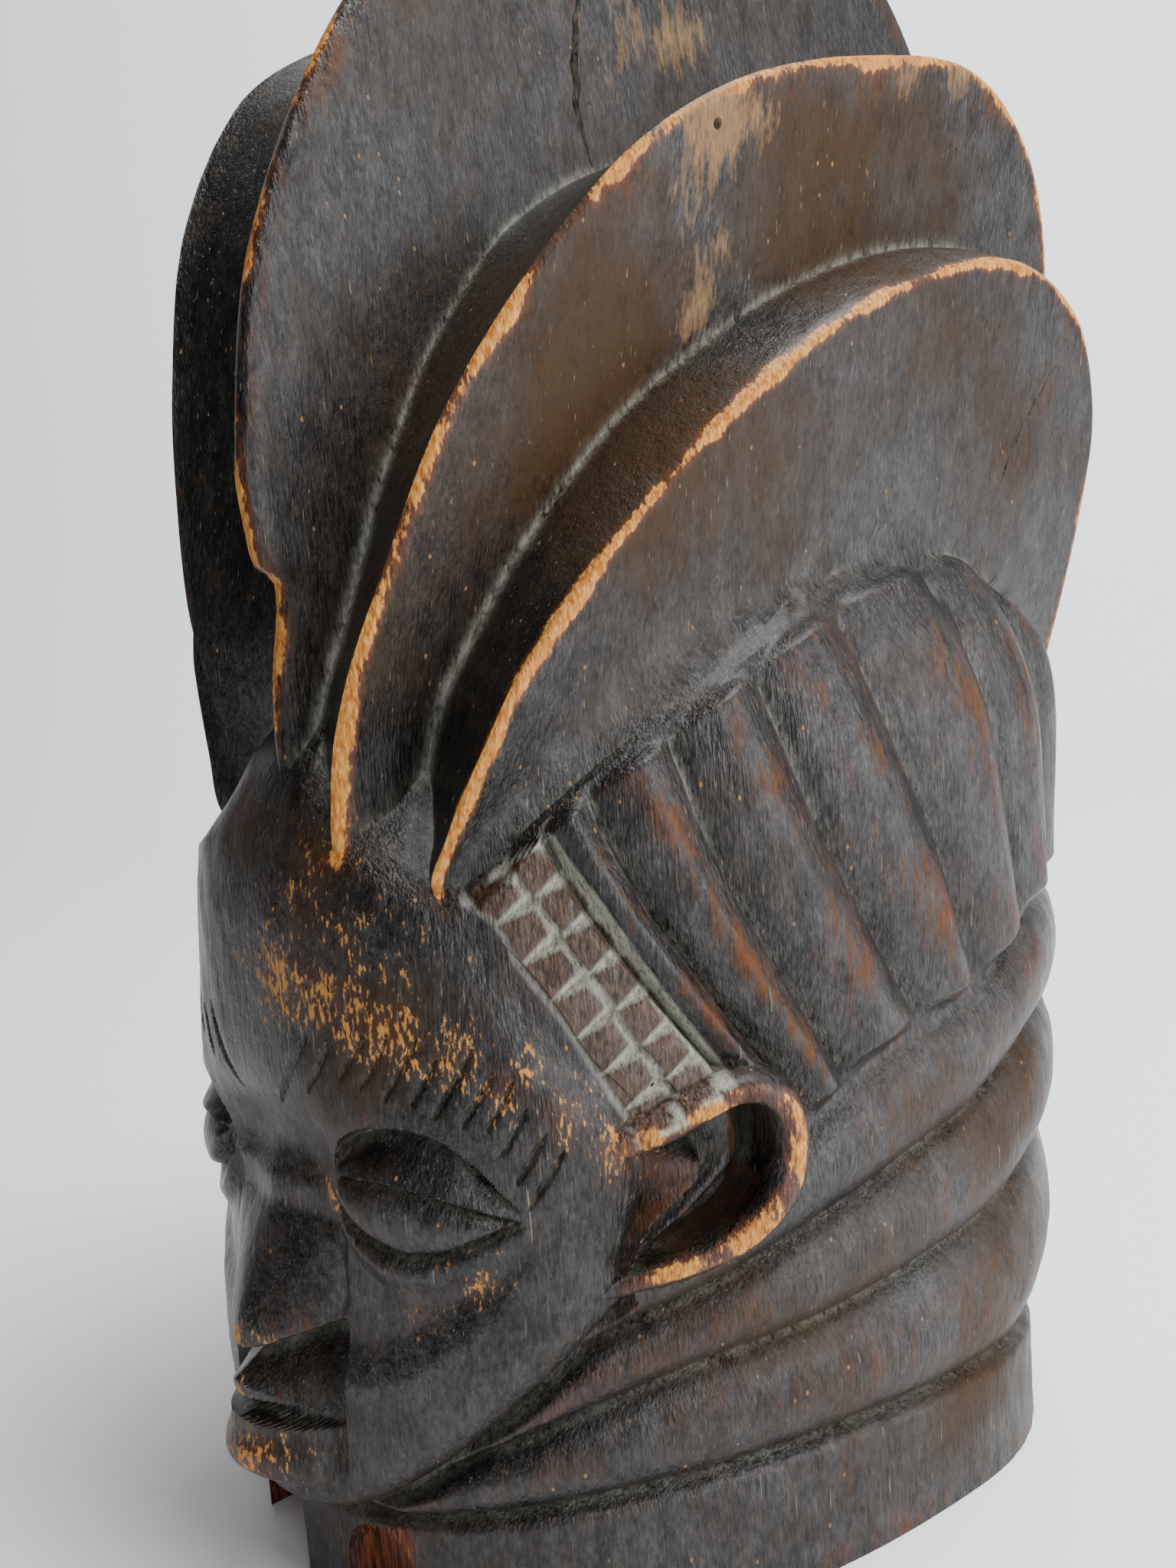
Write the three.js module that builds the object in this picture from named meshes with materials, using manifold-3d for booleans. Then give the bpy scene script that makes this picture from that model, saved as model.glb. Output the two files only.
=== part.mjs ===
// Carved wooden helmet mask, millimetres, face towards -Y, +Z up, open underneath.
import * as THREE from "three";
import Module from "manifold-3d";

const wasm = await Module();
wasm.setup();

// Overall sizes
const TOP = 300;
const DOME_START = 205;
const SQUARENESS = 2.3;
const SHIFT_Y = 13.03;
const WALL = 15;
const HOLLOW_TOP = 262;
const DEG = Math.PI / 180;

// Half widths and depths of the head by height: [z, value]
const WIDE = [[0, 104], [60, 103], [130, 102], [180, 101], [230, 99], [300, 98]];
const FRONT = [[0, 156], [60, 154], [110, 152], [160, 155], [186, 155.5], [200, 153.5], [210, 151],
  [222, 147], [238, 143], [260, 138], [300, 130]];
const BACK = [[0, 82], [30, 84], [60, 97], [95, 104], [140, 112], [180, 116], [230, 126], [300, 128]];

// Carved lines around the head: [angle from the front, z]
const RIM = [[0, 29], [21, 33], [50, 38], [75, 38], [90, 35], [108, 34], [180, 30]];
const RING_LOW = [[0, 31], [8, 33], [15, 38], [28, 50], [39, 58], [57, 68], [75, 71], [97, 78], [113, 85],
  [180, 92]];
const RING_HIGH = [[0, 34], [15, 44], [30, 61], [45, 80], [63, 91], [79, 101], [90, 109], [113, 124],
  [180, 132]];
const NAPE = [[0, 46], [15, 57], [30, 74], [50, 98], [60, 106], [72, 123], [82, 136], [99, 147],
  [114, 158], [140, 164], [180, 166]];
const CREST_LINE = [[0, 214], [20, 204], [33, 195], [47, 219], [58, 233], [70, 247], [84, 260],
  [105, 268], [116, 262], [125, 244], [132, 226], [148, 212], [180, 206]];

// The hair edge beside the face: [z, angle]
const HAIRLINE = [[60, 50], [120, 51.5], [141, 52.5], [156, 48], [173, 44], [187, 39], [199, 33],
  [212, 24], [232, 4]];
const FACE_SIDE = [[0, 50], [120, 51], [141, 52.5], [156, 48], [173, 44], [187, 39], [199, 33], [215, 28],
  [240, 20]];

// Hair pleats: where the grooves stand at z = 200, and how far they lean per millimetre
const GROOVES = [47, 54, 65, 78, 90, 106, 121, 136, 151, 166, 181];
const LEAN = [[30, 0.34], [47, 0.29], [54, 0.26], [65, 0.2], [79, 0.17], [89, 0.12], [107, 0.1],
  [140, 0.05], [180, 0]];

const clamp = (v, lo, hi) => Math.min(hi, Math.max(lo, v));
const bell = (v, width) => Math.exp(-((v / width) ** 2));

function smooth(a, b, v) {
  const t = clamp((v - a) / (b - a), 0, 1);
  return t * t * (3 - 2 * t);
}

// Smooth curve through [x, y] points
function curve(points, x) {
  const n = points.length;
  const v = clamp(x, points[0][0], points[n - 1][0]);
  let i = 0;
  while (i < n - 2 && v > points[i + 1][0]) i += 1;
  const slope = (k) => {
    const a = points[Math.max(k - 1, 0)];
    const b = points[Math.min(k + 1, n - 1)];
    return (b[1] - a[1]) / (b[0] - a[0]);
  };
  const h = points[i + 1][0] - points[i][0];
  const t = (v - points[i][0]) / h;
  const t2 = t * t;
  const t3 = t2 * t;
  const start = (2 * t3 - 3 * t2 + 1) * points[i][1] + (t3 - 2 * t2 + t) * h * slope(i);
  const end = (3 * t2 - 2 * t3) * points[i + 1][1] + (t3 - t2) * h * slope(i + 1);
  return start + end;
}

function domeScale(z) {
  const u = clamp((z - DOME_START) / (TOP - DOME_START), 0, 1);
  return (1 - u ** 2.3) ** (1 / 2.3);
}

const jawLine = (p) => 28 + 67 * (p / 50) ** 1.55;

// Plain oval of the head: point and outward direction at an angle and height
function oval(phi, z, inset = 0) {
  const s = Math.sin(phi * DEG);
  const c = Math.cos(phi * DEG);
  const a = curve(WIDE, z) - inset;
  const d = curve(c > 0 ? FRONT : BACK, z) - inset;
  const e = 2 / SQUARENESS;
  const x = a * Math.sign(s) * Math.abs(s) ** e;
  const y = -d * Math.sign(c) * Math.abs(c) ** e;
  const nx = (Math.sign(s) * Math.abs(s) ** (2 - e)) / a;
  const ny = (-Math.sign(c) * Math.abs(c) ** (2 - e)) / d;
  const l = Math.hypot(nx, ny);
  return { x, y, nx: nx / l, ny: ny / l };
}

// Neck rings: rounded rolls with sharp grooves between
function neckRelief(p, z) {
  const lines = [curve(RIM, p), curve(RING_LOW, p), curve(RING_HIGH, p), curve(NAPE, p)];
  if (z < lines[0]) return -3 * bell(z - lines[0], 2);
  const k = z < lines[1] ? 0 : z < lines[2] ? 1 : 2;
  const u = clamp((z - lines[k]) / (lines[k + 1] - lines[k]), 0, 1);
  const rolls = 7.5 * (4 * u * (1 - u)) ** 0.7 - 5;
  const underJaw = z - jawLine(Math.min(p, 50));
  if (p > 50 || underJaw > 0) return rolls;
  return rolls * smooth(-1, -6, underJaw) - 3 * smooth(-8, 0, underJaw);
}

// Pleats of the hair
function hairRelief(p, z) {
  let q = p;
  for (let i = 0; i < 5; i += 1) q = p - curve(LEAN, q) * (200 - z);
  const crest = curve(CREST_LINE, p);
  if (z > crest) return -3;
  let k = 0;
  while (k < GROOVES.length - 2 && q > GROOVES[k + 1]) k += 1;
  const f = clamp((q - GROOVES[k]) / (GROOVES[k + 1] - GROOVES[k]), 0, 1);
  const knifed = Math.min(1, 1.25 * Math.min(f / 0.4, (1 - f) / 0.6));
  const fold = 6.5 * (0.6 * Math.sqrt(4 * f * (1 - f)) + 0.4 * knifed) - 4.2;
  const pleat = q > GROOVES[0] ? fold : 0.5;
  const ends = smooth(0, 7, z - curve(NAPE, p)) * smooth(0, 4, crest - z);
  return pleat * ends - 3 * (1 - ends);
}

// How far the head falls away above the crest line: not in front, steeply at the sides, a little behind
function crestDrop(p, z) {
  const up = Math.max(z - curve(CREST_LINE, p), 0);
  if (p >= 47) return (22 - 17 * smooth(112, 130, p)) * smooth(0, 14, up);
  return Math.min(0.62 * smooth(4, 19, p) * up + 14 * smooth(40, 47, p) * smooth(0, 14, up), 24);
}

// Face: a raised plate with soft sockets, a mouth bed and a chin
function faceRelief(p, z, x) {
  const ax = Math.abs(x);
  const t = clamp((z - jawLine(p)) / 15, 0, 1);
  const round = Math.sqrt(1 - (1 - t) ** 2);
  let h = 8 * round * (1 - 0.8 * smooth(120, 190, z)) * smooth(0, 12, curve(HAIRLINE, z) - p);
  h -= 5 * bell(ax - 17, 11) * bell(z - 124, 14) + 7 * bell(ax, 24) * bell(z - 131, 13);
  h -= 8 * smooth(28, 22, ax) * smooth(36, 48, z) * smooth(92, 82, z);
  return h + 5 * bell(ax, 22) * bell(z - 38, 9);
}

function headPoint(phi, z) {
  const p = Math.abs(phi);
  const o = oval(phi, z);
  const scale = domeScale(z);
  const x = o.x * scale;
  const onFace = z < 232 && p < curve(HAIRLINE, z) && z > jawLine(p);
  let h = neckRelief(p, z);
  if (z > curve(NAPE, p)) h = hairRelief(p, z);
  if (onFace) h = faceRelief(p, z, x);
  h -= crestDrop(p, z);
  return [x + o.nx * h * scale, o.y * scale + o.ny * h * scale, z];
}

// Columns of the head grid follow the hair edge and the leaning pleats
function columnList() {
  const list = [];
  for (let i = 0; i < 11; i += 1) list.push({ face: i / 11 });
  list.push({ q: 33 }, { q: 40 });
  for (let k = 0; k < GROOVES.length - 1; k += 1) {
    const step = GROOVES[k + 1] - GROOVES[k];
    for (const f of [0, 0.2, 0.8]) list.push({ q: GROOVES[k] + f * step });
  }
  return list.filter((c) => c.q === undefined || c.q < 178);
}

function columnAngle(column, z) {
  if (column.face !== undefined) return column.face * curve(FACE_SIDE, z);
  if (column.q === 33) return curve(FACE_SIDE, z);
  return column.q + curve(LEAN, column.q) * (200 - clamp(z, 135, 240));
}

// Rows of the head grid follow the carved lines
function rowList() {
  const rows = [[0, 0], [0, 0.9], [0, 1]];
  for (const k of [1, 2, 3]) for (const f of [0.12, 0.5, 0.88, 1]) rows.push([k, f]);
  for (let i = 1; i <= 12; i += 1) rows.push([4, i / 12]);
  for (const f of [0.15, 0.55]) rows.push([5, f]);
  return rows;
}

function rowHeight([k, f], p) {
  const carved = [RIM, RING_LOW, RING_HIGH, NAPE, CREST_LINE].map((line) => curve(line, p));
  const lines = [0, ...carved, TOP];
  return lines[k] + f * (lines[k + 1] - lines[k]);
}

function meshOf(points, faces) {
  const mesh = new wasm.Mesh({
    numProp: 3,
    vertProperties: Float32Array.from(points.flat()),
    triVerts: Uint32Array.from(faces.flat()),
  });
  return new wasm.Manifold(mesh);
}

// Closed solid from rings of equal length, closed at both ends with a fan
function skin(rings) {
  const n = rings[0].length;
  const points = rings.flat();
  const faces = [];
  for (let r = 0; r < rings.length - 1; r += 1) {
    for (let i = 0; i < n; i += 1) {
      const j = (i + 1) % n;
      const a = r * n + i;
      const b = r * n + j;
      faces.push([a, b, b + n], [a, b + n, a + n]);
    }
  }
  const middle = (ring) => [0, 1, 2].map((k) => ring.reduce((s, q) => s + q[k], 0) / n);
  const first = points.length;
  points.push(middle(rings[0]), middle(rings[rings.length - 1]));
  const last = (rings.length - 1) * n;
  for (let i = 0; i < n; i += 1) {
    const j = (i + 1) % n;
    faces.push([first, j, i], [first + 1, last + i, last + j]);
  }
  const solid = meshOf(points, faces);
  return solid.volume() > 0 ? solid : meshOf(points, faces.map(([a, b, c]) => [a, c, b]));
}

function head() {
  const side = columnList();
  const rings = rowList().map((row) => {
    const right = side.map((column) => {
      let z = 150;
      let phi = 0;
      for (let i = 0; i < 12; i += 1) {
        phi = columnAngle(column, z);
        z = 0.5 * z + 0.5 * rowHeight(row, phi);
      }
      return [phi, z];
    });
    const left = right.slice(1).reverse().map(([phi, z]) => [-phi, z]);
    const back = [180, rowHeight(row, 180)];
    return [...right, back, ...left].map(([phi, z]) => headPoint(phi, z));
  });
  return skin(rings);
}

// The hollow inside, open below, with a wall all round
function hollow() {
  const rings = [];
  for (let r = 0; r <= 8; r += 1) {
    const z = r === 0 ? -5 : HOLLOW_TOP * Math.sin((r / 8.5) * 90 * DEG);
    const u = clamp((z - 60) / (HOLLOW_TOP - 60), 0, 1);
    const scale = (1 - u ** 2.6) ** (1 / 2.6);
    const ring = [];
    for (let i = 0; i < 24; i += 1) {
      const o = oval((i * 360) / 24, clamp(z, 0, HOLLOW_TOP), WALL);
      ring.push([o.x * scale, o.y * scale, z]);
    }
    rings.push(ring);
  }
  return skin(rings);
}

// Crest lobes: outline of the outer edge as [y, z]
const OUTER_EDGE = [[-122, 184], [-131, 194], [-134.7, 201.5], [-131.6, 210.6], [-128.5, 223],
  [-123, 237], [-114.8, 250.6], [-88, 279], [-52, 308], [-12, 331], [30, 344], [66, 345], [95, 330],
  [109, 302], [109, 272], [104, 241], [97, 212]];
const OUTER_FAR_EDGE = [[-120, 194], [-129, 204], [-132, 212], [-131.3, 225], [-130.5, 244], [-129, 256],
  [-124, 268], [-90, 297], [-52, 318], [-12, 336], [30, 347], [66, 347], [95, 331], [109, 302],
  [109, 272], [104, 241], [97, 212]];
const INNER_EDGE = [[-132, 190], [-142, 200], [-147, 210], [-146.3, 221.5], [-144, 238], [-140.7, 253],
  [-135, 269], [-113, 319], [-70, 369], [-30, 392], [20, 402], [65, 402], [97, 383], [116, 350],
  [122, 310], [123, 265], [121, 230], [117, 208]];
const INNER_FAR_EDGE = [[-124, 200], [-134, 210], [-137.8, 218], [-139, 233], [-140.5, 248],
  [-141.3, 262], [-140.8, 273], [-137, 298], [-130, 330], [-115, 373], [-88, 411], [-60, 429], [-20, 440],
  [30, 440], [75, 425], [105, 395], [122, 350], [126, 310], [125, 265], [121, 230], [117, 208]];
const MIDDLE_EDGE = [[-132, 206], [-141, 214], [-144, 222.3], [-144.4, 234], [-142.4, 251], [-138.4, 268],
  [-138, 276.5], [-142.5, 279], [-144, 288], [-144, 306], [-130, 362], [-92, 424], [-50, 458], [0, 477],
  [50, 483], [100, 474], [131, 450], [148, 410], [150, 360], [143, 310], [135, 265], [130, 230],
  [124, 206]];

// How far the ledge behind each edge rises or falls before its neighbour: [share of the edge, mm]
const OUTER_RISE = [[0, -10], [0.1, -10], [0.17, -5], [0.26, 3], [0.36, 9], [1, 9]];
const INNER_RISE = [[0, -9], [0.1, -11], [0.15, -15], [0.24, -18], [0.45, -14], [1, -12]];

// The sheet each lobe's edge lies in leans by fan and starts at x; its front foot bends by foot
const MIDDLE = { edge: MIDDLE_EDGE, x: 7, fan: -0.08, z: 215, foot: 0, blade: true };
const LOBES = [
  { edge: OUTER_EDGE, x: 62, fan: 0.2, z: 200, foot: -6.5, outer: true, rise: OUTER_RISE },
  { edge: OUTER_FAR_EDGE, x: -54, fan: -0.22, z: 205, foot: 0, outer: true, rise: OUTER_RISE },
  { edge: INNER_EDGE, x: 29, fan: 0.25, z: 215, foot: 6, rise: INNER_RISE },
  { edge: INNER_FAR_EDGE, x: -29, fan: -0.25, z: 215, foot: 0, rise: INNER_RISE },
  MIDDLE,
];
const ROOT = [-10, 215];

// Stations along a smooth outline, closer together at its front foot: [share, y, z]
function pathPoints(points, count) {
  const far = [0];
  for (let i = 1; i < points.length; i += 1) {
    far.push(far[i - 1] + Math.hypot(points[i][0] - points[i - 1][0], points[i][1] - points[i - 1][1]));
  }
  const ys = points.map((q, i) => [far[i], q[0]]);
  const zs = points.map((q, i) => [far[i], q[1]]);
  const out = [];
  for (let i = 0; i < count; i += 1) {
    const share = (i / (count - 1)) ** 1.3;
    const s = far[far.length - 1] * share;
    out.push([share, curve(ys, s), curve(zs, s)]);
  }
  return out;
}

function sheetX(shape, y, z) {
  const bend = smooth(240, 203, z) * smooth(-85, -125, y);
  return shape.x + shape.fan * (z - shape.z) + shape.foot * bend;
}

// How far an outer lobe's face swells out near its foot to lie flush with the side of the head
function flare(shape, y, z) {
  if (!shape.outer) return 0;
  const d = curve(y < 0 ? FRONT : BACK, z) * domeScale(z);
  const across = clamp(1 - (Math.abs(y) / d) ** SQUARENESS, 0, 1) ** (1 / SQUARENESS);
  const gap = curve(WIDE, z) * domeScale(z) * across - 5 - Math.abs(sheetX(shape, y, z));
  const foot = y < 0 ? 205 + 57 * smooth(-125, -20, y) : 262 - 30 * smooth(60, 110, y);
  return clamp(gap, 0, 14) * smooth(foot + 40, foot + 4, z) * smooth(-134, -120, y);
}

function lobe(shape) {
  const side = Math.sign(shape.x);
  const rings = pathPoints(shape.edge, 25).map(([share, y, z]) => {
    const reach = Math.hypot(y - ROOT[0], z - ROOT[1]);
    const u = [(y - ROOT[0]) / reach, (z - ROOT[1]) / reach];
    const at = (dist, shift) => {
      const q = [y - u[0] * dist, z - u[1] * dist];
      return [sheetX(shape, ...q) + side * (shift + flare(shape, ...q)), ...q];
    };
    const deep = reach * 0.72;
    if (shape.blade) {
      const near = [at(deep, 9), at(30, 5.5), at(2, 3), at(0, 1)];
      const away = [at(0, -1), at(2, -3), at(30, -5.5), at(deep, -9)];
      return [...near, ...away];
    }
    const target = shape.outer ? side * (24 + 0.2 * (z - 215)) : sheetX(MIDDLE, y, z);
    const width = target - sheetX(shape, y, z);
    const rise = curve(shape.rise, share);
    const ledge = (f) => {
      const lift = rise * Math.sin((f * Math.PI) / 2);
      return [sheetX(shape, y, z) + width * f, y + u[0] * lift, z + u[1] * lift];
    };
    const below = ledge(1);
    const foot = [below[0], y - u[0] * deep, z - u[1] * deep];
    const near = [at(deep, 0.03 * deep), at(deep * 0.6, 0.02 * deep), at(2, 0)];
    return [...near, ledge(0.06), ledge(0.4), ledge(0.75), ledge(1), foot];
  });
  return skin(rings);
}

// Ear: a horseshoe rim standing off the side of the head
const EAR_PATH = [[49.5, 130.5], [55, 134.5], [60.5, 139.5], [64.5, 141.5], [67.5, 138], [68.6, 130],
  [68.2, 120], [66.8, 111.5], [63.5, 104.5], [58, 99.8], [52, 97.3], [46.5, 95]];

function ear(side) {
  const centre = [60, 119];
  const rings = [];
  const stations = 13;
  for (let i = 0; i < stations; i += 1) {
    const t = i / (stations - 1);
    const k = t * (EAR_PATH.length - 1);
    const phi = curve(EAR_PATH.map((q, j) => [j, q[0]]), k);
    const z = curve(EAR_PATH.map((q, j) => [j, q[1]]), k);
    const high = 2 + 8 * Math.sin(Math.PI * clamp(t, 0.02, 0.98)) ** 0.7;
    const half = 4.5;
    const out = [(phi - centre[0]) * 1.7, z - centre[1]];
    const l = Math.hypot(out[0], out[1]);
    const place = (across, h) => {
      const o = oval(phi + (out[0] / l / 1.7) * across, z + (out[1] / l) * across);
      return [side * (o.x + o.nx * h), o.y + o.ny * h, z + (out[1] / l) * across];
    };
    const top = [place(half * 0.4, high), place(-half * 0.5, high * 0.95)];
    const inside = [place(-half, high * 0.55), place(-half, -12)];
    rings.push([place(half, -12), place(half, high * 0.7), ...top, ...inside]);
  }
  return skin(rings);
}

// The hollow inside the ear's rim
function earBowl(side) {
  const ring = (size, h) => {
    const out = [];
    for (let i = 0; i < 10; i += 1) {
      const a = i * 36 * DEG;
      out.push(standOff(side * (60.5 + 6 * size * Math.cos(a)), 119.5 + 16 * size * Math.sin(a), h));
    }
    return out;
  };
  return skin([ring(1.05, 12), ring(1, 0), ring(0.7, -7)]);
}

// Point on the head at an angle and height, standing h off the plain oval
function standOff(phi, z, h) {
  const o = oval(phi, z);
  return [o.x + o.nx * h, o.y + o.ny * h, z];
}

// Nose: a straight ridge between two flat sides that meet the cheeks at a line, cut off slanting below
const NOSE_RIDGE = [[76, 17], [80.6, 22.9], [85, 22.1], [90, 20], [96, 17], [102, 13.6], [109, 10.2],
  [115, 6.7], [123, 3.4], [134, 1.5], [150, 1]];
const NOSE_FOOT = [[76, 6.5], [104, 6.5], [120, 1], [134, -4], [150, -6]];

function nose() {
  return skin([76, 78, 81, 86, 94, 104, 120, 134, 150].map((z) => {
    const half = curve([[112, 24.5], [128, 20], [150, 10]], z);
    const tip = curve(NOSE_RIDGE, z);
    const side = z + 0.38 * half * clamp((104 - z) / 28, 0, 1);
    const phi = (half / 140) / DEG;
    const foot = standOff(phi, side, 0)[1] - curve(NOSE_FOOT, z);
    const ridge = -curve(FRONT, z) - tip;
    return [[-half, -130, side], [-half, foot, side], [-2, ridge, z], [2, ridge, z], [half, foot, side],
      [half, -130, side]];
  }));
}

// The eye's carved lines, [angle, z]: the brow's lower edge, the lid's edge and the ball's lower line
const EYE_BROW = [[11.5, 126], [12.6, 132], [15, 137.5], [19, 141], [23.2, 141.8], [27.8, 140],
  [31.8, 133.8], [35.2, 125.5], [38.6, 117.3]];
const EYE_LID = [[11.5, 125.8], [15, 127.3], [19.8, 127.6], [24, 126.4], [28, 124.2], [31, 122.2],
  [35, 119.3], [38.6, 117.1]];
const EYE_LOW = [[11.5, 125.6], [12.6, 121], [14.2, 116.6], [16.8, 111.6], [20, 109], [23.5, 107.8],
  [27.8, 109], [31.5, 112], [35, 115.2], [38.6, 116.9]];
const EYE_ANGLES = [12, 13.5, 16, 19, 22, 25, 28, 31, 34, 36.5, 38.2];

// Hollow that the eye lies in
function eyeBed(side) {
  const ring = (h, grow) => {
    const over = EYE_ANGLES.map((p) => standOff(side * p, curve(EYE_BROW, p) + grow, h));
    const under = EYE_ANGLES.map((p) => standOff(side * p, curve(EYE_LOW, p) - grow, h));
    return [...over, ...under.reverse()];
  };
  return skin([ring(-1, 0), ring(20, 2)]);
}

// Lid sloping out from the hollow to its edge, the slit, and the full ball below
function eyeBall(side) {
  const rings = EYE_ANGLES.map((p) => {
    const brow = curve(EYE_BROW, p);
    const lid = curve(EYE_LID, p);
    const low = curve(EYE_LOW, p);
    const ends = smooth(11, 15, p) * smooth(39, 33, p);
    const at = (z, h) => standOff(side * p, z, h);
    const upper = [at(lid + (brow - lid) * 0.7, -1), at(lid + 0.3, 1 + 5.5 * ends)];
    const slit = at(lid - 1.2, 0.5 + 2 * ends);
    const swell = (f) => 1 + 9 * ends * Math.sqrt(1 - f * f);
    const ball = [0.25, 0.55, 0.8, 1].map((f) => at(lid + (low - lid) * f, swell(f)));
    return [at(brow - 1, -12), ...upper, slit, ...ball, at(low + 1, -12)];
  });
  return skin(rings);
}

// A lip: full in the middle, thin at the corners
function lip(top, bottom, high) {
  const rings = [];
  for (let i = 0; i <= 8; i += 1) {
    const x = -Math.cos((i / 8) * Math.PI) * 22;
    const full = Math.max(1 - (x / 23) ** 2, 0.05);
    const mid = (top + bottom) / 2;
    const half = ((top - bottom) / 2) * (0.35 + 0.65 * full);
    const phi = Math.sign(x) * (Math.abs(x) / 140 / DEG);
    const at = (dz, h) => [x, standOff(phi, mid + dz, h)[1], mid + dz];
    const swell = (f) => -6 + f * (high + 6) * full ** 0.7;
    const front = [at(half * 0.5, swell(0.9)), at(0, swell(1)), at(-half * 0.6, swell(0.85))];
    rings.push([at(half, -12), at(half, swell(0.4)), ...front, at(-half, swell(0.35)), at(-half, -12)]);
  }
  return skin(rings);
}

// Hatched band beside the face: two columns of chip cuts
function bandCuts(side) {
  const front = [[33, 199], [39, 187], [44, 173], [48, 156], [52, 143]];
  const back = [[44, 211], [49, 192], [54, 175], [58, 160], [61, 149]];
  const rows = 7;
  const place = (across, along) => {
    const k = clamp(along, 0, 1) * 4;
    const pick = (line, j) => curve(line.map((q, i) => [i, q[j]]), k);
    const mix = (j) => pick(front, j) + across * (pick(back, j) - pick(front, j));
    return [mix(0), mix(1)];
  };
  const cuts = [];
  for (let r = 0; r < rows; r += 1) {
    for (const c of [0.27, 0.73]) {
      const corners = [[-1, -1], [1, -1], [1, 1], [-1, 1]];
      const ring = (size, h) => corners.map(([i, j]) => {
        const [phi, z] = place(c + i * 0.17 * size, (r + 0.5 + j * 0.36 * size) / rows);
        return standOff(side * phi, z, h);
      });
      cuts.push(skin([ring(1.35, 4), ring(0.2, -4.5)]));
    }
  }
  return cuts;
}

// Flake lost from the front of the rim, and a worn half-round bite beside it, both a few millimetres deep
function flake() {
  const ring = (y) => [[-46, y, -4], [-6, y, -4], [-7.5, y, 20], [-14, y, 27], [-26, y, 25], [-40, y, 14]];
  return skin([ring(-185), ring(-147)]);
}

function bite() {
  const arc = [-20, 0, 30, 60, 90, 120, 150, 180, 200];
  const ring = (y) => [[37.3, y, -4], ...arc.slice(1, -1).map((a) => [
    25.8 + 11.5 * Math.cos(a * DEG), y, 15 + 12 * Math.sin(a * DEG)]), [14.3, y, -4]];
  return skin([ring(-185), ring(-147.5)]);
}

function build() {
  let solid = head();
  for (const shape of LOBES) solid = solid.add(lobe(shape));
  for (const side of [1, -1]) {
    solid = solid.subtract(earBowl(side)).add(ear(side)).subtract(eyeBed(side)).add(eyeBall(side));
    for (const cut of bandCuts(side)) solid = solid.subtract(cut);
  }
  solid = solid.add(nose()).add(lip(73, 59, 19)).add(lip(57, 44, 18));
  solid = solid.subtract(hollow()).subtract(flake()).subtract(bite());
  const bodies = solid.decompose().sort((a, b) => b.volume() - a.volume());
  return bodies[0];
}

function toMesh(solid) {
  const data = solid.getMesh();
  const geometry = new THREE.BufferGeometry();
  const count = data.vertProperties.length / data.numProp;
  const positions = new Float32Array(count * 3);
  for (let i = 0; i < count; i += 1) {
    positions[3 * i] = data.vertProperties[data.numProp * i];
    positions[3 * i + 1] = data.vertProperties[data.numProp * i + 1] + SHIFT_Y;
    positions[3 * i + 2] = data.vertProperties[data.numProp * i + 2];
  }
  geometry.setAttribute("position", new THREE.BufferAttribute(positions, 3));
  geometry.setIndex([...data.triVerts]);
  geometry.computeVertexNormals();
  return geometry;
}

const material = new THREE.MeshStandardMaterial({ color: 0x3a2418, roughness: 0.45, metalness: 0 });
material.name = "dark carved wood";
const mask = new THREE.Mesh(toMesh(build()), material);
mask.name = "helmet_mask";

const group = new THREE.Group();
group.name = "helmet_mask_object";
group.add(mask);
export default group;
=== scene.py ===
# Carved wooden helmet mask: fine carved surface, dark worn finish, camera and soft light.
import math

import bpy
import numpy as np
from mathutils import Matrix


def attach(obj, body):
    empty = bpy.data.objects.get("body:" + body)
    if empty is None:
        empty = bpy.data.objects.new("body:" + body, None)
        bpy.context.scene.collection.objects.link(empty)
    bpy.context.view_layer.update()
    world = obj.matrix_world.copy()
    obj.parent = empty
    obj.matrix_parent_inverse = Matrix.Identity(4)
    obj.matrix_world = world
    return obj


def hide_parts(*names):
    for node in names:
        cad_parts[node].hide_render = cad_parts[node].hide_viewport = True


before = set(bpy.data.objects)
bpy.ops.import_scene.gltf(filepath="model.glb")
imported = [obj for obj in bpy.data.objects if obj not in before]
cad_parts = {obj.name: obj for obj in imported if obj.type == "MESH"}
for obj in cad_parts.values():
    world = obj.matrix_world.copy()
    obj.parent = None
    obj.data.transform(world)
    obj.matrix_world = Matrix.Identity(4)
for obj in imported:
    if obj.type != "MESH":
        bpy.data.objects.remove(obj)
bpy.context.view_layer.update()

MM = 0.001
DEG = math.pi / 180
SHIFT_Y = 13.03  # the row frame's origin is this far behind the axis that the carving is laid out from

# Plain head: half widths and depths by height, [z, value] in millimetres
TOP = 300.0
DOME_START = 205.0
SQUARENESS = 2.3
DOME_POWER = 2.3
WIDE = [(0, 104), (60, 103), (130, 102), (180, 101), (230, 99), (300, 98)]
FRONT = [
    (0, 156), (60, 154), (110, 152), (160, 155), (186, 155.5), (200, 153.5), (210, 151), (222, 147),
    (238, 143), (260, 138), (300, 130),
]
BACK = [(0, 82), (30, 84), (60, 97), (95, 104), (140, 112), (180, 116), (230, 126), (300, 128)]
WALL = 15.0
HOLLOW_TOP = 262.0
HOLLOW_START = 60.0
HOLLOW_POWER = 2.6

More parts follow.
